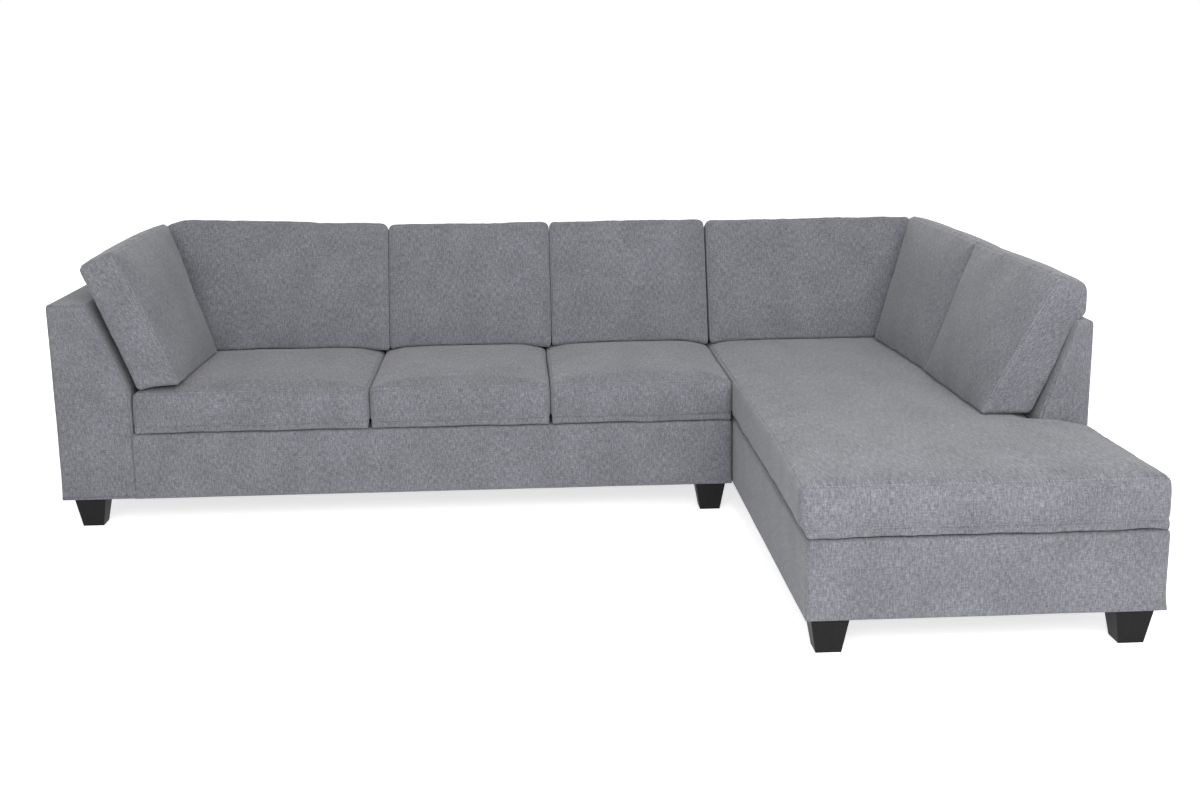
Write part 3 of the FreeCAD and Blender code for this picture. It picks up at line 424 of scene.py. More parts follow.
def stuffed(obj, held, cap):
    """Lets the filling's pressure swell a cushion, with its seams held and its movement capped."""
    start = np.array([v.co for v in obj.data.vertices])
    group = obj.vertex_groups.new(name="seams")
    group.add(held, 1.0, "REPLACE")
    cloth = obj.modifiers.new("filling", "CLOTH")
    rules = cloth.settings
    rules.quality = 4
    rules.mass = 0.4
    rules.tension_stiffness = rules.compression_stiffness = 12
    rules.shear_stiffness = 6
    rules.bending_stiffness = 2
    rules.use_pressure = True
    rules.uniform_pressure_force = 4
    rules.vertex_group_mass = "seams"
    rules.effector_weights.gravity = 0
    cloth.collision_settings.use_collision = False
    cloth.point_cache.frame_start, cloth.point_cache.frame_end = 1, STUFFING_FRAMES
    for step in range(1, STUFFING_FRAMES + 1):
        scene.frame_set(step)
    depsgraph = bpy.context.evaluated_depsgraph_get()
    swollen = obj.evaluated_get(depsgraph).data
    moved = np.array([v.co for v in swollen.vertices]) - start
    obj.modifiers.clear()
    scene.frame_set(1)
    length = np.maximum(np.linalg.norm(moved, axis=1), 1e-9)
    return start + moved * np.minimum(1, cap / length)[:, None]


STITCH_ROWS = {}


def finish_cushion(name, box, place, rings, rows, fill, cap, limits, seed, gathers=0.0022):
    """Stuffs, sews and places a cushion on its own body, and notes where its rows of stitches run."""
    held = sorted({v for ring in rings for v in ring})
    draft = mesh_object(name, box.co, box.faces)
    box.co = stuffed(draft, held, cap)
    bpy.data.objects.remove(draft)
    box.pucker(rings, gathers, 0.035, seed)
    box.ripple(0.0025, 0.13, seed)
    box.co = np.clip(box.co, *limits)
    piece = mesh_object(name, place(box.co), box.faces)
    lay_weave(piece, box, box.sides, box.faces, seed)
    outward(piece)
    piece.data.materials.append(FABRIC)
    subdivide(piece)
    applied(piece)
    for row in rows:
        spots = [piece.data.vertices[v] for v in row]
        STITCH_ROWS.setdefault(name, []).append([(spot.co + spot.normal * THREAD_RISE)[:] for spot in spots])
    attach(piece, name)
    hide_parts(f"{name}_cover", f"{name}_core")
    return piece


def outward(obj):
    """Turns a mirrored mesh's faces outwards."""
    shell = bmesh.new()
    shell.from_mesh(obj.data)
    bmesh.ops.recalc_face_normals(shell, faces=shell.faces)
    shell.to_mesh(obj.data)
    shell.free()


# ---------------- seat cushions

def seat_box(name, step, nose, crown, flatness):
    """A seat cushion in its node's box, and its corner; its front swells by nose, its top by crown."""
    low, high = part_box(f"{name}_cover")
    size = high - low
    size.z = SEAT_SIDE - low.z
    size.y -= nose
    box = SewnBox(size, 0.008, 0.022, 0.026, step, [(2, LIP)])
    below = np.clip(box.co[:, 2] / LIP, 0, 1)
    box.co[:, 1] -= LIP_ROLL * np.sin(math.pi * below) * (box.share[:, 1] < -0.5)
    box.bulge(2, True, crown, flatness)
    box.bulge(1, False, nose, flatness)
    for end in (False, True):
        box.bulge(0, end, SIDE_SWELL, 4)
    return box, low + Vector((0, nose, 0))


def seat_seams(box):
    """The seams round the top and just above the underside, and the stitches beside them."""
    lip = box.seam_line
    return [box.ring(2, -1), box.ring(2, lip)], [box.ring(2, -1, 1), box.ring(2, lip + 1)]


def drooped(co, edge, foot):
    """The front lip hangs a little over the rounded edge of the base, at y = edge and z = foot."""
    near = np.clip((edge + 0.004 - co[:, 1]) / 0.012, 0, 1)
    low = np.clip(1 - (co[:, 2] - foot) / 0.09, 0, 1)
    co[:, 2] -= DROOP * near * low ** 1.5
    return co


BASE_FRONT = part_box("sofa_base_cover")[0].y
CHAISE_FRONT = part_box("chaise_base_cover")[0].y
seat_tops = []


def seat_cushion(number):
    """One of the three equal seat cushions."""
    name = f"seat_cushion_{number}"
    nose, crown = 0.006, 0.015
    box, corner = seat_box(name, CLOTH_STEP, nose, crown, 2.6)

    def place(co):
        return drooped(co + np.array(corner), BASE_FRONT, corner.z)

    limits = (-TOUCH, -nose - 0.006, 0), (box.size.x + TOUCH, box.size.y, box.size.z + crown + 0.004)
    return finish_cushion(name, box, place, *seat_seams(box), 0.85, 0.006, limits, number)


for seat in (1, 2, 3):
    seat_tops.append(seat_cushion(seat))


def chaise_cushion():
    """The chaise cushion, with its notch round the side panel's front."""
    name = "chaise_cushion"
    crown = 0.012
    box, corner = seat_box(name, 0.0165, 0.004, crown, 4)
    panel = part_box("chaise_side_cover")[0] - corner
    edge_x, edge_y = panel.x - CHAISE_ROOM, panel.y - CHAISE_ROOM
    width = box.size.x
    free_side = BASE_FRONT - corner.y - SEAT_SLIDE     # no seat cushion slides past this stretch

    def notched(co):
        """Behind the panel's front the cushion narrows to the panel's inner face."""
        co = co.copy()
        narrow = eased_in(co[:, 1], edge_y - NOTCH_ROUND, edge_y)
        right = np.clip((co[:, 0] / width - 0.5) * 2, 0, 1)
        co[:, 0] -= (width - edge_x) * narrow * right
        forward = np.clip((free_side - co[:, 1]) / free_side, 0, 1)
        tall = np.clip(co[:, 2] / 0.04, 0, 1)
        co[:, 0] -= CHAISE_SWELL * forward * tall * np.clip(1 - co[:, 0] / width * 4, 0, 1)
        return drooped(co + np.array(corner), CHAISE_FRONT, corner.z)

    limits = (-TOUCH, -0.012, 0), (width + 0.008, box.size.y, box.size.z + crown + 0.004)
    return finish_cushion(name, box, notched, *seat_seams(box), 0.85, 0.006, limits, 4)


chaise_top = chaise_cushion()


def rest_level(seats, left, right, front):
    """Height on which a cushion rests at places from left to right: the highest of what slides below it."""
    spots = np.linspace(left, right, 61)
    points = np.concatenate([np.array([v.co for v in seat.data.vertices]) for seat in seats])
    points = points[points[:, 1] > front]
    near = [np.abs(points[:, 0] - spot) < 0.012 for spot in spots]
    level = np.array([points[close, 2].max(initial=0) for close in near])
    level = np.maximum(level, level.max() - 0.022)
    smooth = np.convolve(np.pad(level, 3, mode="edge"), np.ones(7) / 7, "valid")
    return spots, np.maximum(level, smooth) + CLEAR


# ---------------- leaning cushions

def leaning_box(width, thick, length, crown, rear, flatness):
    """A back, arm or side cushion before it leans: across its width, its thickness and its length."""
    box = SewnBox((width, thick, length), 0.012, 0.015, 0.020, CLOTH_STEP)
    box.bulge(1, False, crown, flatness)
    box.bulge(1, True, rear, flatness)
    box.bulge(2, True, 0.003, 2.4)
    for end in (False, True):
        box.bulge(0, end, SIDE_SWELL, 4)
    return box


def lean(co, size, angle):
    """Leans a cushion back from its lower front edge, its foot cut level, as distances back and up."""
    foot = co[:, 1] * math.tan(angle)
    share = np.clip(co[:, 2] / size.z, None, 1)
    along = np.where(co[:, 2] > size.z, co[:, 2], foot + (size.z - foot) * share)
    back = co[:, 1] * math.cos(angle) + along * math.sin(angle)
    up = -co[:, 1] * math.sin(angle) + along * math.cos(angle)
    return back, up


def inward(height, foot, top):
    """How thick an arm, back or side panel is at a height."""
    return foot + (top - foot) * np.clip((height - SLOPE_START) / (FRAME_TOP - SLOPE_START), 0, 1)


def hug(reach, height, foot, top):
    """Holds how far a cushion reaches back to the slope behind it, and lets it spill over the top of that."""
    slope = -inward(height, foot, top) - HUG + 1.2 * np.clip(height - FRAME_TOP - 0.004, 0, 0.03)
    return np.minimum(reach, slope)


def leaning_cushion(name, box, angle, seats, spread, seed):
    """Places a leaning cushion: spread turns distances along, back and up into points of the room."""
    rings = [box.ring(1, 0), box.ring(1, -1)]
    rows = [box.ring(1, 0, 1), box.ring(1, 1), box.ring(1, -1, 1), box.ring(1, -2)]

    def place(co):
        back, up = lean(co, box.size, angle)
        spots, level = seats
        points = spread(co[:, 0], back, up + level.max(), 1 - co[:, 1] / box.size.y)
        drop = np.interp(points[:, 0], spots, level) - level.max()
        points[:, 2] += drop * np.clip(1 - up / 0.16, 0, 1) ** 2
        return points

    limits = (-TOUCH, -0.05, 0), (box.size.x + TOUCH, box.size.y + 0.05, box.size.z + 0.012)
    finish_cushion(name, box, place, rings, rows, 0.7, 0.012, limits, seed, 0.0032)


def back_cushion(number, left_spill=0, left_rise=0, right_rise=0):
    """A back cushion. Its upper left corner may spill over the slope beside it, and both may ride up."""
    name = f"back_cushion_{number}"
    low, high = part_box(f"{name}_cover")
    face = low.y + FACE_ROOM
    resting = rest_level(seat_tops if number < 4 else [chaise_top], low.x, high.x, face)
    box = leaning_box(high.x - low.x, BACK_THICK, BACK_LENGTH, 0.020, 0.010, 2.6)

    def spread(along, back, up, front):
        share = along / box.size.x
        high_up = eased_in(up, 0.50, 0.62) * eased_in(front, 0.0, 0.6)
        along = along - high_up * left_spill * (1 - share) ** 3
        depth = hug(face + back - REAR, up, BACK_FOOT, BACK_TOP) + REAR
        slump = SLUMP * np.clip(1 - share / 0.11, 0, 1) ** 2 if left_rise else 0
        ride_up = left_rise * (1 - share) + right_rise * share - slump
        return np.stack([low.x + along, depth, up + ride_up * eased_in(up - low.z, 0.1, 0.4)], 1)

    leaning_cushion(name, box, BACK_LEAN, resting, spread, 10 + number)


def standing_cushion(name, thick, length, angle, direction, seat, slanted, rise, jut, splay, seed):
    """A cushion along the arm or the side panel.

    The back cushions slant its rear end and push it out, by jut. Its front end leans out, by splay.
    """
    low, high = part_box(f"{name}_cover")
    height = high.z - low.z
    lag = math.tan(BACK_LEAN) if slanted else 0
    box = leaning_box(high.y - low.y - lag * height, thick, length, 0.026, 0.026, 3.6)
    wall = SOFA_LEFT if direction < 0 else CHAISE_RIGHT
    foot = ARM_FOOT_EDGE if direction < 0 else SIDE_FOOT_EDGE
    slope = (ARM_FOOT, ARM_TOP) if direction < 0 else (SIDE_FOOT, SIDE_TOP)
    near, far = sorted((foot, foot + direction * thick / math.cos(angle)))
    resting = rest_level([seat], near, far, -9)

    def spread(along, back, up, _):
        share = np.clip(along / box.size.x, 0, 1)
        above = up - low.z
        open_end = (1 - share) ** 1.5
        back = back + splay * np.clip(above, 0, None) * open_end
        depth = hug(direction * (foot - wall) + back, up, *slope)
        out = jut * share ** 1.5
        return np.stack([wall + direction * (depth - out), low.y + along + lag * above * share,
                         up + (rise * share - 0.2 * splay * open_end) * eased_in(above / height, 0.3, 1)], 1)

    leaning_cushion(name, box, angle, resting, spread, seed)


SOFA_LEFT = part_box("sofa_arm_cover")[0].x
CHAISE_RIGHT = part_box("chaise_base_cover")[1].x
BASE_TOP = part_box("sofa_base_cover")[1].z
REAR, FRAME_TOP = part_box("sofa_back_cover")[1].yz
ARM_FOOT_EDGE = SOFA_LEFT + ARM_CUSHION_FOOT
SIDE_FOOT_EDGE = CHAISE_RIGHT - SIDE_FOOT - SIDE_THICK / math.cos(BACK_LEAN) - SIDE_GAP

# Back cushion 1 rides up in its corner. The others stand straight, so that each lifts past its neighbours.
back_cushion(1, 0.030, 0.032, 0.002)
for number in (2, 3, 4):
    back_cushion(number)
standing_cushion("arm_cushion", ARM_THICK, ARM_LENGTH, ARM_LEAN, -1, seat_tops[0], True,
                 0.020, 0.018, 0.0, 21)
for name, slanted, rise, jut, splay, seed in (("side_cushion_front", False, 0.000, 0.006, 0.13, 22),
                                              ("side_cushion_rear", True, 0.010, 0.026, 0.0, 23)):
    standing_cushion(name, SIDE_THICK, SIDE_LENGTH, SIDE_LEAN, 1, chaise_top, slanted, rise, jut, splay, seed)


# ---------------- upholstered units

def cover(name, node, low, high, bend, body, rings, seed, hidden=None, deck_from=None, edge=0.014):
    """An upholstered shell over its frame, without its underside.

    bend shapes the box, hidden picks more faces to leave out, and deck_from is where thin deck cloth starts.
    """
    low, high = Vector(low), Vector(high)
    box = SewnBox(high - low, 0.004, edge, edge, 0.020)
    for axis in range(2):
        for end in (False, True):
            box.bulge(axis, end, COVER_SWELL, 6)
    box.ripple(0.0010, 0.18, seed)
    seams = [box.ring(axis, line) for axis, line in rings]
    if seams:
        box.pucker(seams, 0.0008, 0.020, seed)
    co = np.clip(box.co, 0, np.array(box.size)) + np.array(low)
    centres = co[np.array(box.faces)].mean(1)
    kept = [i for i, (side, centre) in enumerate(zip(box.sides, centres))
            if side != BOTTOM and not (hidden and hidden(side, centre))]
    faces = [box.faces[i] for i in kept]
    piece = mesh_object(name, bend(co), faces)
    lay_weave(piece, box, [box.sides[i] for i in kept], faces, seed)
    group = piece.vertex_groups.new(name="padding")
    for vertex, (x, y, z) in enumerate(co):
        thin = (deck_from is not None and deck_from <= x < high.x - DECK_MARGIN
                and y > low.y + DECK_MARGIN and z > high.z - 0.004)
        group.add([vertex], DECK / SHELL if thin else 1.0, "REPLACE")
    subdivide(piece)
    shell = piece.modifiers.new("padding", "SOLIDIFY")
    shell.thickness = SHELL
    shell.offset = -1
    shell.vertex_group = "padding"
    piece.data.materials.append(FABRIC)
    applied(piece)
    tidy = bmesh.new()
    tidy.from_mesh(piece.data)
    bmesh.ops.delete(tidy, geom=[v for v in tidy.verts if not v.link_faces], context="VERTS")
    tidy.to_mesh(piece.data)
    tidy.free()
    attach(piece, body)
    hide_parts(node)
    return piece


def bend_arm(co):
    """Leans the arm's inner face."""
    co = co.copy()
    co[:, 0] = SOFA_LEFT + (co[:, 0] - SOFA_LEFT) * inward(co[:, 2], ARM_FOOT, ARM_TOP) / ARM_FOOT
    return co


def bend_back(co, left_of=None, right_of=None):
    """Leans a back's inner face and fits its ends to the arm's or the side's slope."""
    co = co.copy()
    share = (REAR - co[:, 1]) / BACK_FOOT
    co[:, 1] = REAR - share * inward(co[:, 2], BACK_FOOT, BACK_TOP)
    low, high = co[:, 0].min(), co[:, 0].max()
    along = (co[:, 0] - low) / (high - low)
    left = low if left_of is None else left_of(co[:, 2])
    right = high if right_of is None else right_of(co[:, 2])
    co[:, 0] = left + along * (right - left)
    return co


def bend_side(co):
    """Leans the side panel's inner face."""
    co = co.copy()
    share = (CHAISE_RIGHT - co[:, 0]) / SIDE_FOOT
    co[:, 0] = CHAISE_RIGHT - share * inward(co[:, 2], SIDE_FOOT, SIDE_TOP)
    return co


LEFT, RIGHT, BOTTOM, TOP = 0, 1, 4, 5          # sides of a sewn box
RIB_FRONT = REAR - BACK_FOOT + 0.006
SIDE_INNER = CHAISE_RIGHT - SIDE_FOOT
PANEL_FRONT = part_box("chaise_side_cover")[0].y

arm_low, arm_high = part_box("sofa_arm_cover")
cover("arm_upholstery", "sofa_arm_cover", arm_low, arm_high, bend_arm, "sofa_unit", [(1, 0)], 31,
      lambda side, c: side == RIGHT and c[2] < BASE_TOP + 0.004 and c[1] > arm_low.y + SEEN_BEHIND)

base_low, base_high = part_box("sofa_base_cover")
base_low.x -= TUCK
cover("sofa_base_upholstery", "sofa_base_cover", base_low, base_high, np.copy, "sofa_unit", [], 32,
      lambda side, c: (side == LEFT and c[1] > base_low.y + SEEN_BEHIND
                       or side == TOP and c[1] > RIB_FRONT), deck_from=base_low.x)

back_low, back_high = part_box("sofa_back_cover")
cover("sofa_back_upholstery", "sofa_back_cover", (back_low.x, REAR - BACK_FOOT, back_low.z), back_high,
      lambda co: bend_back(co, left_of=lambda z: SOFA_LEFT + inward(z, ARM_FOOT, ARM_TOP) + MITRE_GAP),
      "sofa_unit", [(1, 0)], 33)

chaise_low, chaise_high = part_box("chaise_base_cover")
cover("chaise_base_upholstery", "chaise_base_cover", chaise_low, chaise_high, np.copy, "chaise_unit", [], 34,
      lambda side, c: side == TOP and (
          c[1] > RIB_FRONT or (c[0] > SIDE_INNER + PADDING and c[1] > PANEL_FRONT + PADDING)),
      deck_from=chaise_low.x + DECK_MARGIN, edge=0.018)

cover("side_panel_upholstery", "chaise_side_cover", *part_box("chaise_side_cover"), bend_side, "chaise_unit",
      [(1, 0)], 35)

end_low, end_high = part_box("chaise_back_cover")
cover("chaise_back_upholstery", "chaise_back_cover", (end_low.x, REAR - BACK_FOOT, end_low.z),
      (SIDE_INNER, end_high.y, end_high.z),
      lambda co: bend_back(co, right_of=lambda z: CHAISE_RIGHT - inward(z, SIDE_FOOT, SIDE_TOP) - MITRE_GAP),
      "chaise_unit", [], 36)


# ---------------- what repeats along a line

def node_group(name, inputs):
    """A new geometry tree: its given sockets, its result socket and its inputs' identifiers."""
    tree = bpy.data.node_groups.new(name, "GeometryNodeTree")
    tree.interface.new_socket("Geometry", in_out="INPUT", socket_type="NodeSocketGeometry")
    ids = {}
    for label, kind in inputs:
        ids[label] = tree.interface.new_socket(label, in_out="INPUT", socket_type=kind).identifier
    tree.interface.new_socket("Geometry", in_out="OUTPUT", socket_type="NodeSocketGeometry")
    return tree, tree.nodes.new("NodeGroupInput").outputs, tree.nodes.new("NodeGroupOutput").inputs, ids


def finish_tree(tree, geometry, finish, result):
    """Realize Instances, then Set Material."""
    real = add(tree, "GeometryNodeRealizeInstances", [("Geometry", geometry)])
    done = add(tree, "GeometryNodeSetMaterial", [("Geometry", real.outputs["Geometry"]),
                                                 ("Material", finish)])
    tree.links.new(done.outputs["Geometry"], result["Geometry"])


def bead_tree():
    """Small beads, such as stitches or staple crowns, laid at a pitch along each line of a mesh."""
    tree, given, result, ids = node_group("beads_along_lines", [
        ("Pitch", "NodeSocketFloat"), ("Length", "NodeSocketFloat"), ("Width", "NodeSocketFloat"),
        ("Finish", "NodeSocketMaterial")])
    lines = add(tree, "GeometryNodeMeshToCurve", [("Mesh", given["Geometry"])])
    points = add(tree, "GeometryNodeResampleCurve", [
        ("Curve", lines.outputs["Curve"]), ("Length", given["Pitch"])], mode="LENGTH")
    bead = add(tree, "GeometryNodeMeshIcoSphere", Radius=0.5, Subdivisions=1)
    size = add(tree, "ShaderNodeCombineXYZ", [
        ("X", given["Length"]), ("Y", given["Width"]), ("Z", given["Width"])])
    tangent = tree.nodes.new("GeometryNodeInputTangent")
    turn = add(tree, "FunctionNodeAlignRotationToVector", [("Vector", tangent.outputs["Tangent"])], axis="X")
    laid = add(tree, "GeometryNodeInstanceOnPoints", [
        ("Points", points.outputs["Curve"]), ("Instance", bead.outputs["Mesh"]),
        ("Rotation", turn.outputs["Rotation"]), ("Scale", size.outputs["Vector"])])
    finish_tree(tree, laid.outputs["Instances"], given["Finish"], result)
    return tree, ids


def strand_tree():
    """A row of equal wire strands: the given line is repeated at a spacing and made round."""
    tree, given, result, ids = node_group("row_of_strands", [
        ("Count", "NodeSocketInt"), ("Spacing", "NodeSocketVector"), ("Wire radius", "NodeSocketFloat"),
        ("Finish", "NodeSocketMaterial")])
    row = add(tree, "GeometryNodeMeshLine", [("Count", given["Count"]), ("Offset", given["Spacing"])])
    line = add(tree, "GeometryNodeMeshToCurve", [("Mesh", given["Geometry"])])
    section = add(tree, "GeometryNodeCurvePrimitiveCircle", [("Radius", given["Wire radius"])], Resolution=6)
    strand = add(tree, "GeometryNodeCurveToMesh", [
        ("Curve", line.outputs["Curve"]), ("Profile Curve", section.outputs["Curve"])], Fill_Caps=True)
    laid = add(tree, "GeometryNodeInstanceOnPoints", [("Points", row.outputs["Mesh"]),
                                                      ("Instance", strand.outputs["Mesh"])])
    finish_tree(tree, laid.outputs["Instances"], given["Finish"], result)
    return tree, ids


BEADS, STRANDS = bead_tree(), strand_tree()


def along_lines(name, paths, closed, kind, values, body, slot, *nodes):
    """A piece that a geometry tree makes from lines of points."""
    points, edges = [], []
    for path in paths:
        first = len(points)
        points += [tuple(point) for point in path]
        edges += [(first + i, first + (i + 1) % len(path)) for i in range(len(path) - (not closed))]
    mesh = bpy.data.meshes.new(name)
    mesh.from_pydata(points, edges, [])
    piece = bpy.data.objects.new(name, mesh)
    scene.collection.objects.link(piece)
    maker = piece.modifiers.new("maker", "NODES")
    maker.node_group = kind[0]
    for label, value in values.items():
        maker[kind[1][label]] = value
    applied(piece)
    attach(piece, body)
    if nodes:
        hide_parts(*nodes)
    return piece


for body, rows in STITCH_ROWS.items():
    along_lines(f"{body}_stitches", rows, True, BEADS,
                {"Pitch": STITCH_PITCH, "Length": STITCH_LENGTH, "Width": STITCH_WIDTH, "Finish": THREAD},
                body, "upholstery")


# ---------------- under the cushions

def zigzag(length):
    """Points of a zigzag spring along x: half turns joined by runs across it, with a lead at each end."""
    turn = SPRING_PITCH / 2
    run = SPRING_WIDTH / 2 - turn
    count = int((length - 2 * (CLIP_TAB + turn + run)) // SPRING_PITCH)
    lead = length / 2 - turn * count
    points, side = [(0, 0), (lead - run, 0), (lead - 0.3 * run, 0.3 * run)], 1
    for number in range(count):
        middle = lead + SPRING_PITCH * number + turn
        for step in range(7):
            angle = math.pi * (1 - step / 6)
            points.append((middle + turn * math.cos(angle), side * (run + turn * math.sin(angle))))
        side = -side
    return points + [(length - lead + 0.3 * run, -0.3 * side * run), (length - lead + run, 0), (length, 0)]


def springs(unit, along):
    """The zigzag springs of one unit, between its clips; they run along x (0) or y (1)."""
    low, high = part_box(f"{unit}_springs")
    pad_low, pad_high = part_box(f"{unit}_deck_pad")
    across = 1 - along
    spacing = Vector((0, 0, 0))
    spacing[across] = (pad_high[across] - pad_low[across]) / SPRING_COUNT
    line = []
    for reach, off in zigzag(high[along] - low[along]):
        point = [0, 0, (low.z + high.z) / 2]
        point[along] = low[along] + reach
        point[across] = pad_low[across] + spacing[across] / 2 + (off if along == 0 else -off)
        line.append(point)
    along_lines(f"{unit}_zigzag_springs", [line], False, STRANDS,
                {"Count": SPRING_COUNT, "Spacing": tuple(spacing), "Wire radius": SPRING_WIRE_RADIUS,
                 "Finish": SPRING_WIRE}, f"{unit}_unit", "spring_steel", f"{unit}_springs")


def on_unit(piece, unit, node):
    """Rides a piece on its unit, in place of one of its nodes."""
    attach(piece, f"{unit}_unit")
    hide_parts(f"{unit}_{node}")


def felt_pad(unit, seed):
    """The felt on the springs."""
    low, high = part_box(f"{unit}_deck_pad")
    box = SewnBox(high - low, 0.003, 0.003, 0.003, 0.05)
    box.ripple(0.0006, 0.06, seed)
    piece = mesh_object(f"{unit}_felt_pad", np.clip(box.co, 0, np.array(box.size)) + np.array(low), box.faces)
    piece.data.materials.append(FELT)
    on_unit(piece, unit, "deck_pad")


def stapled(blocked, start, end, point):
    """Straight lines from start to end, interrupted where something covers the edge."""
    rows, at = [], start
    for low, high in sorted(blocked) + [(end, end)]:
        if low - STAPLE_ROOM - at > 2 * STAPLE_PITCH:
            rows.append([point(at), point(low - STAPLE_ROOM)])
        at = max(at, high + STAPLE_ROOM)
    return rows


def dust_cover(unit, clear_of):
    """Thin cloth stapled under a base; it sags a little between its rails, clear of the legs and hooks."""
    low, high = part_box(f"{unit}_dust_cover")
    steps = [max(2, round((high[axis] - low[axis]) / DUST_STEP)) for axis in range(2)]
    xs, ys = (np.linspace(low[axis], high[axis], steps[axis] + 1) for axis in range(2))
    points, faces = [], []
    for i, x in enumerate(xs):
        for j, y in enumerate(ys):
            room = min(x - low.x, high.x - x, y - low.y, high.y - y) - RAIL_WIDTH
            for left, right, front, rear in clear_of:
                room = min(room, max(left - x, x - right, front - y, y - rear) - DUST_STEP)
            slack = 1 + 0.5 * noise.noise(Vector((x * 6, y * 6, 3)))
            points.append((x, y, high.z - DUST_SAG * slack * eased_in(room, 0, 0.15)))
            if i < steps[0] and j < steps[1]:
                corner = i * (steps[1] + 1) + j
                faces.append([corner, corner + steps[1] + 1, corner + steps[1] + 2, corner + 1])
    piece = mesh_object(f"{unit}_underside_cloth", points, faces)
    wall = piece.modifiers.new("cloth", "SOLIDIFY")
    wall.thickness, wall.offset = high.z - low.z, -1
    piece.data.materials.append(DUST_CLOTH)
    applied(piece)
    on_unit(piece, unit, "dust_cover")
    level = low.z - STAPLE_WIRE * 0.2
    rows = []
    for along in (0, 1):
        across = 1 - along
        for at in (low[across] + STAPLE_EDGE, high[across] - STAPLE_EDGE):
            blocked = [spot[2 * along:2 * along + 2] for spot in clear_of
                       if spot[2 * across] - 0.02 < at < spot[2 * across + 1] + 0.02]
            rows += stapled(blocked, low[along] + STAPLE_EDGE, high[along] - STAPLE_EDGE,
                            lambda s, at=at, along=along: (at, s, level) if along else (s, at, level))
    along_lines(f"{unit}_staples", rows, False, BEADS,
                {"Pitch": STAPLE_PITCH, "Length": STAPLE_CROWN, "Width": STAPLE_WIRE, "Finish": ZINC},
                f"{unit}_unit", "zinc_steel")


def eased_legs(unit):
    """The CAD's legs with their edges eased, as turned out by a sander."""
    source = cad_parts[f"{unit}_legs"]
    shape = bmesh.new()
    shape.from_mesh(source.data)
    bmesh.ops.remove_doubles(shape, verts=shape.verts, dist=1e-5)
    bmesh.ops.dissolve_limit(shape, angle_limit=math.radians(1), verts=shape.verts, edges=shape.edges)
    mesh = bpy.data.meshes.new(f"{unit}_tapered_feet")
    shape.to_mesh(mesh)
    shape.free()
    piece = bpy.data.objects.new(mesh.name, mesh)
    scene.collection.objects.link(piece)
    ease = piece.modifiers.new("eased_edges", "BEVEL")
    ease.width, ease.segments = 0.0014, 2
    ease.limit_method, ease.angle_limit = "ANGLE", math.radians(40)
    piece.data.materials.clear()
    piece.data.materials.append(LACQUER)
    applied(piece)
    on_unit(piece, unit, "legs")


def footprints(unit):
    """Where the legs and the connectors cover a base's underside: left, right, front and rear of each."""
    spots = np.array([v.co[:2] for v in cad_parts[f"{unit}_legs"].data.vertices])
    legs = []
    for spot in spots:
        if not any(np.abs(leg - spot).max() < LEG_REACH for leg in legs):
            legs.append(spot)
    prints = []
    for leg in legs:
        own = spots[np.abs(spots - leg).max(1) < LEG_REACH]
        prints.append((own[:, 0].min(), own[:, 0].max(), own[:, 1].min(), own[:, 1].max()))
    low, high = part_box("sofa_hooks" if unit == "sofa" else "chaise_tongues")
    return prints + [(low.x - 0.01, high.x + 0.01, low.y - 0.02, high.y + 0.02)]


springs("sofa", 1)
springs("chaise", 0)
for unit, seed in (("sofa", 41), ("chaise", 42)):
    felt_pad(unit, seed)
    eased_legs(unit)
dust_cover("sofa", footprints("sofa"))
dust_cover("chaise", footprints("chaise"))


# ---------------- studio

def area_light(name, spot, aim, size, power):
    """A rectangular lamp at a spot, turned towards a point."""
    lamp = bpy.data.lights.new(name, "AREA")
    lamp.shape = "RECTANGLE"
    lamp.size, lamp.size_y = size
    lamp.energy = power
    holder = bpy.data.objects.new(name, lamp)
    holder.location = spot
    holder.rotation_euler = (Vector(aim) - Vector(spot)).to_track_quat("-Z", "Y").to_euler()
    scene.collection.objects.link(holder)


def looked_at(tree):
    """1 for what sees the background straight, by gloss or through glass, and 0 for the light it gives."""
    path = tree.nodes.new("ShaderNodeLightPath")
    seen = path.outputs["Is Camera Ray"]
    for way in ("Is Glossy Ray", "Is Transmission Ray"):
        seen = add(tree, "ShaderNodeMath", [(0, seen), (1, path.outputs[way])],
                   operation="MAXIMUM").outputs["Value"]
    return seen


WHITE = (1, 1, 1, 1)
SKY_LIGHT, FLOOR_GLOW = 0.50, 0.70
scene.world = bpy.data.worlds.new("studio")
scene.world.use_nodes = True
sky = scene.world.node_tree
sky.nodes.clear()
soft = add(sky, "ShaderNodeBackground", Color=WHITE, Strength=SKY_LIGHT)
white = add(sky, "ShaderNodeBackground", Color=WHITE, Strength=1.0)
pick = add(sky, "ShaderNodeMixShader", [(0, looked_at(sky)), (1, soft.outputs[0]), (2, white.outputs[0])])
add(sky, "ShaderNodeOutputWorld", [(0, pick.outputs[0])])

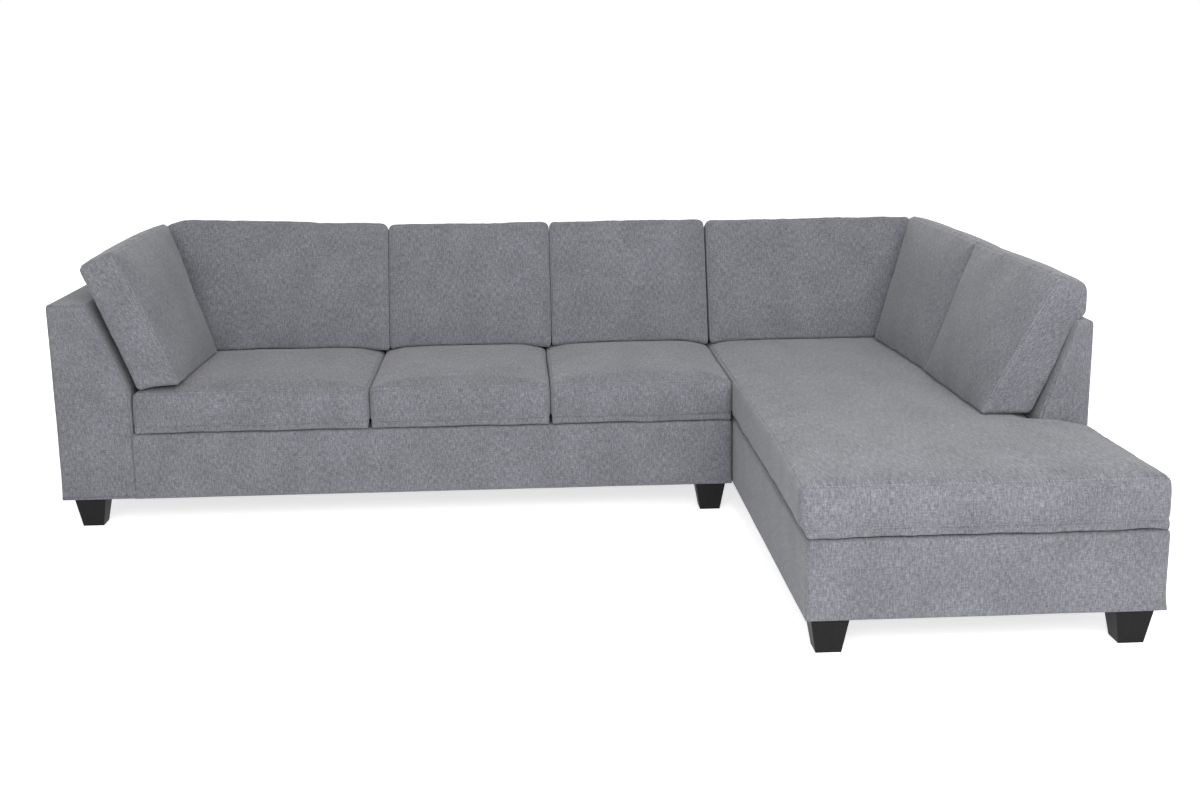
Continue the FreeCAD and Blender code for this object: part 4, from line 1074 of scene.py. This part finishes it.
ground = mesh_object("studio_floor", [(-15, -15, 0), (15, -15, 0), (15, 15, 0), (-15, 15, 0)],
                     [[0, 1, 2, 3]])
paper, tree, surface = material("studio_paper", Base_Color=tone("#f4f4f4"), Roughness=1.0,
                                Specular_IOR_Level=0.0)
glow = add(tree, "ShaderNodeEmission", Color=WHITE, Strength=FLOOR_GLOW)
both = add(tree, "ShaderNodeAddShader", [(0, surface.outputs[0]), (1, glow.outputs[0])])
mix = add(tree, "ShaderNodeMixShader", [(0, looked_at(tree)), (1, surface.outputs[0]), (2, both.outputs[0])])
tree.links.new(mix.outputs[0], tree.nodes["Material Output"].inputs[0])
ground.data.materials.append(paper)

area_light("key", (1.7, -4.6, 3.2), (0.9, -0.3, 0.4), (3.4, 2.6), 100)
area_light("fill", (-1.0, -6.4, 3.0), (-0.2, 0.8, 0.6), (4.0, 3.0), 232)
area_light("top", (1.3, -2.2, 3.4), (1.0, -0.9, 0.4), (2.4, 1.8), 48)
area_light("rear", (0.2, 6.2, 1.3), (0.0, 0.9, 0.4), (4.0, 1.8), 130)

scene.view_settings.view_transform = "Standard"

# The photograph's viewpoint, worked out from the sofa's own corners.
PHOTO_WIDTH, PHOTO_HEIGHT, SENSOR = 1200, 800, 36
FOCAL_PIXELS, MIDDLE_X, MIDDLE_Y = 1558.27, 600.65, 419.49
EYE = (-0.0615, -4.6685, 1.4395)
YAW, PITCH, ROLL = 0.0522, 0.2265, -0.0126
ahead = Vector((math.sin(YAW) * math.cos(PITCH), math.cos(YAW) * math.cos(PITCH), -math.sin(PITCH)))
level_right = Vector((math.cos(YAW), -math.sin(YAW), 0))
level_up = level_right.cross(ahead)
right = level_right * math.cos(ROLL) + level_up * math.sin(ROLL)
up = -level_right * math.sin(ROLL) + level_up * math.cos(ROLL)
lens = bpy.data.cameras.new("camera")
lens.sensor_width = SENSOR
lens.lens = FOCAL_PIXELS * SENSOR / PHOTO_WIDTH
lens.shift_x = (PHOTO_WIDTH / 2 - MIDDLE_X) / PHOTO_WIDTH
lens.shift_y = (MIDDLE_Y - PHOTO_HEIGHT / 2) / PHOTO_WIDTH
camera = bpy.data.objects.new("camera", lens)
camera.matrix_world = Matrix.Translation(EYE) @ Matrix((right, up, -ahead)).transposed().to_4x4()
scene.collection.objects.link(camera)
scene.camera = camera
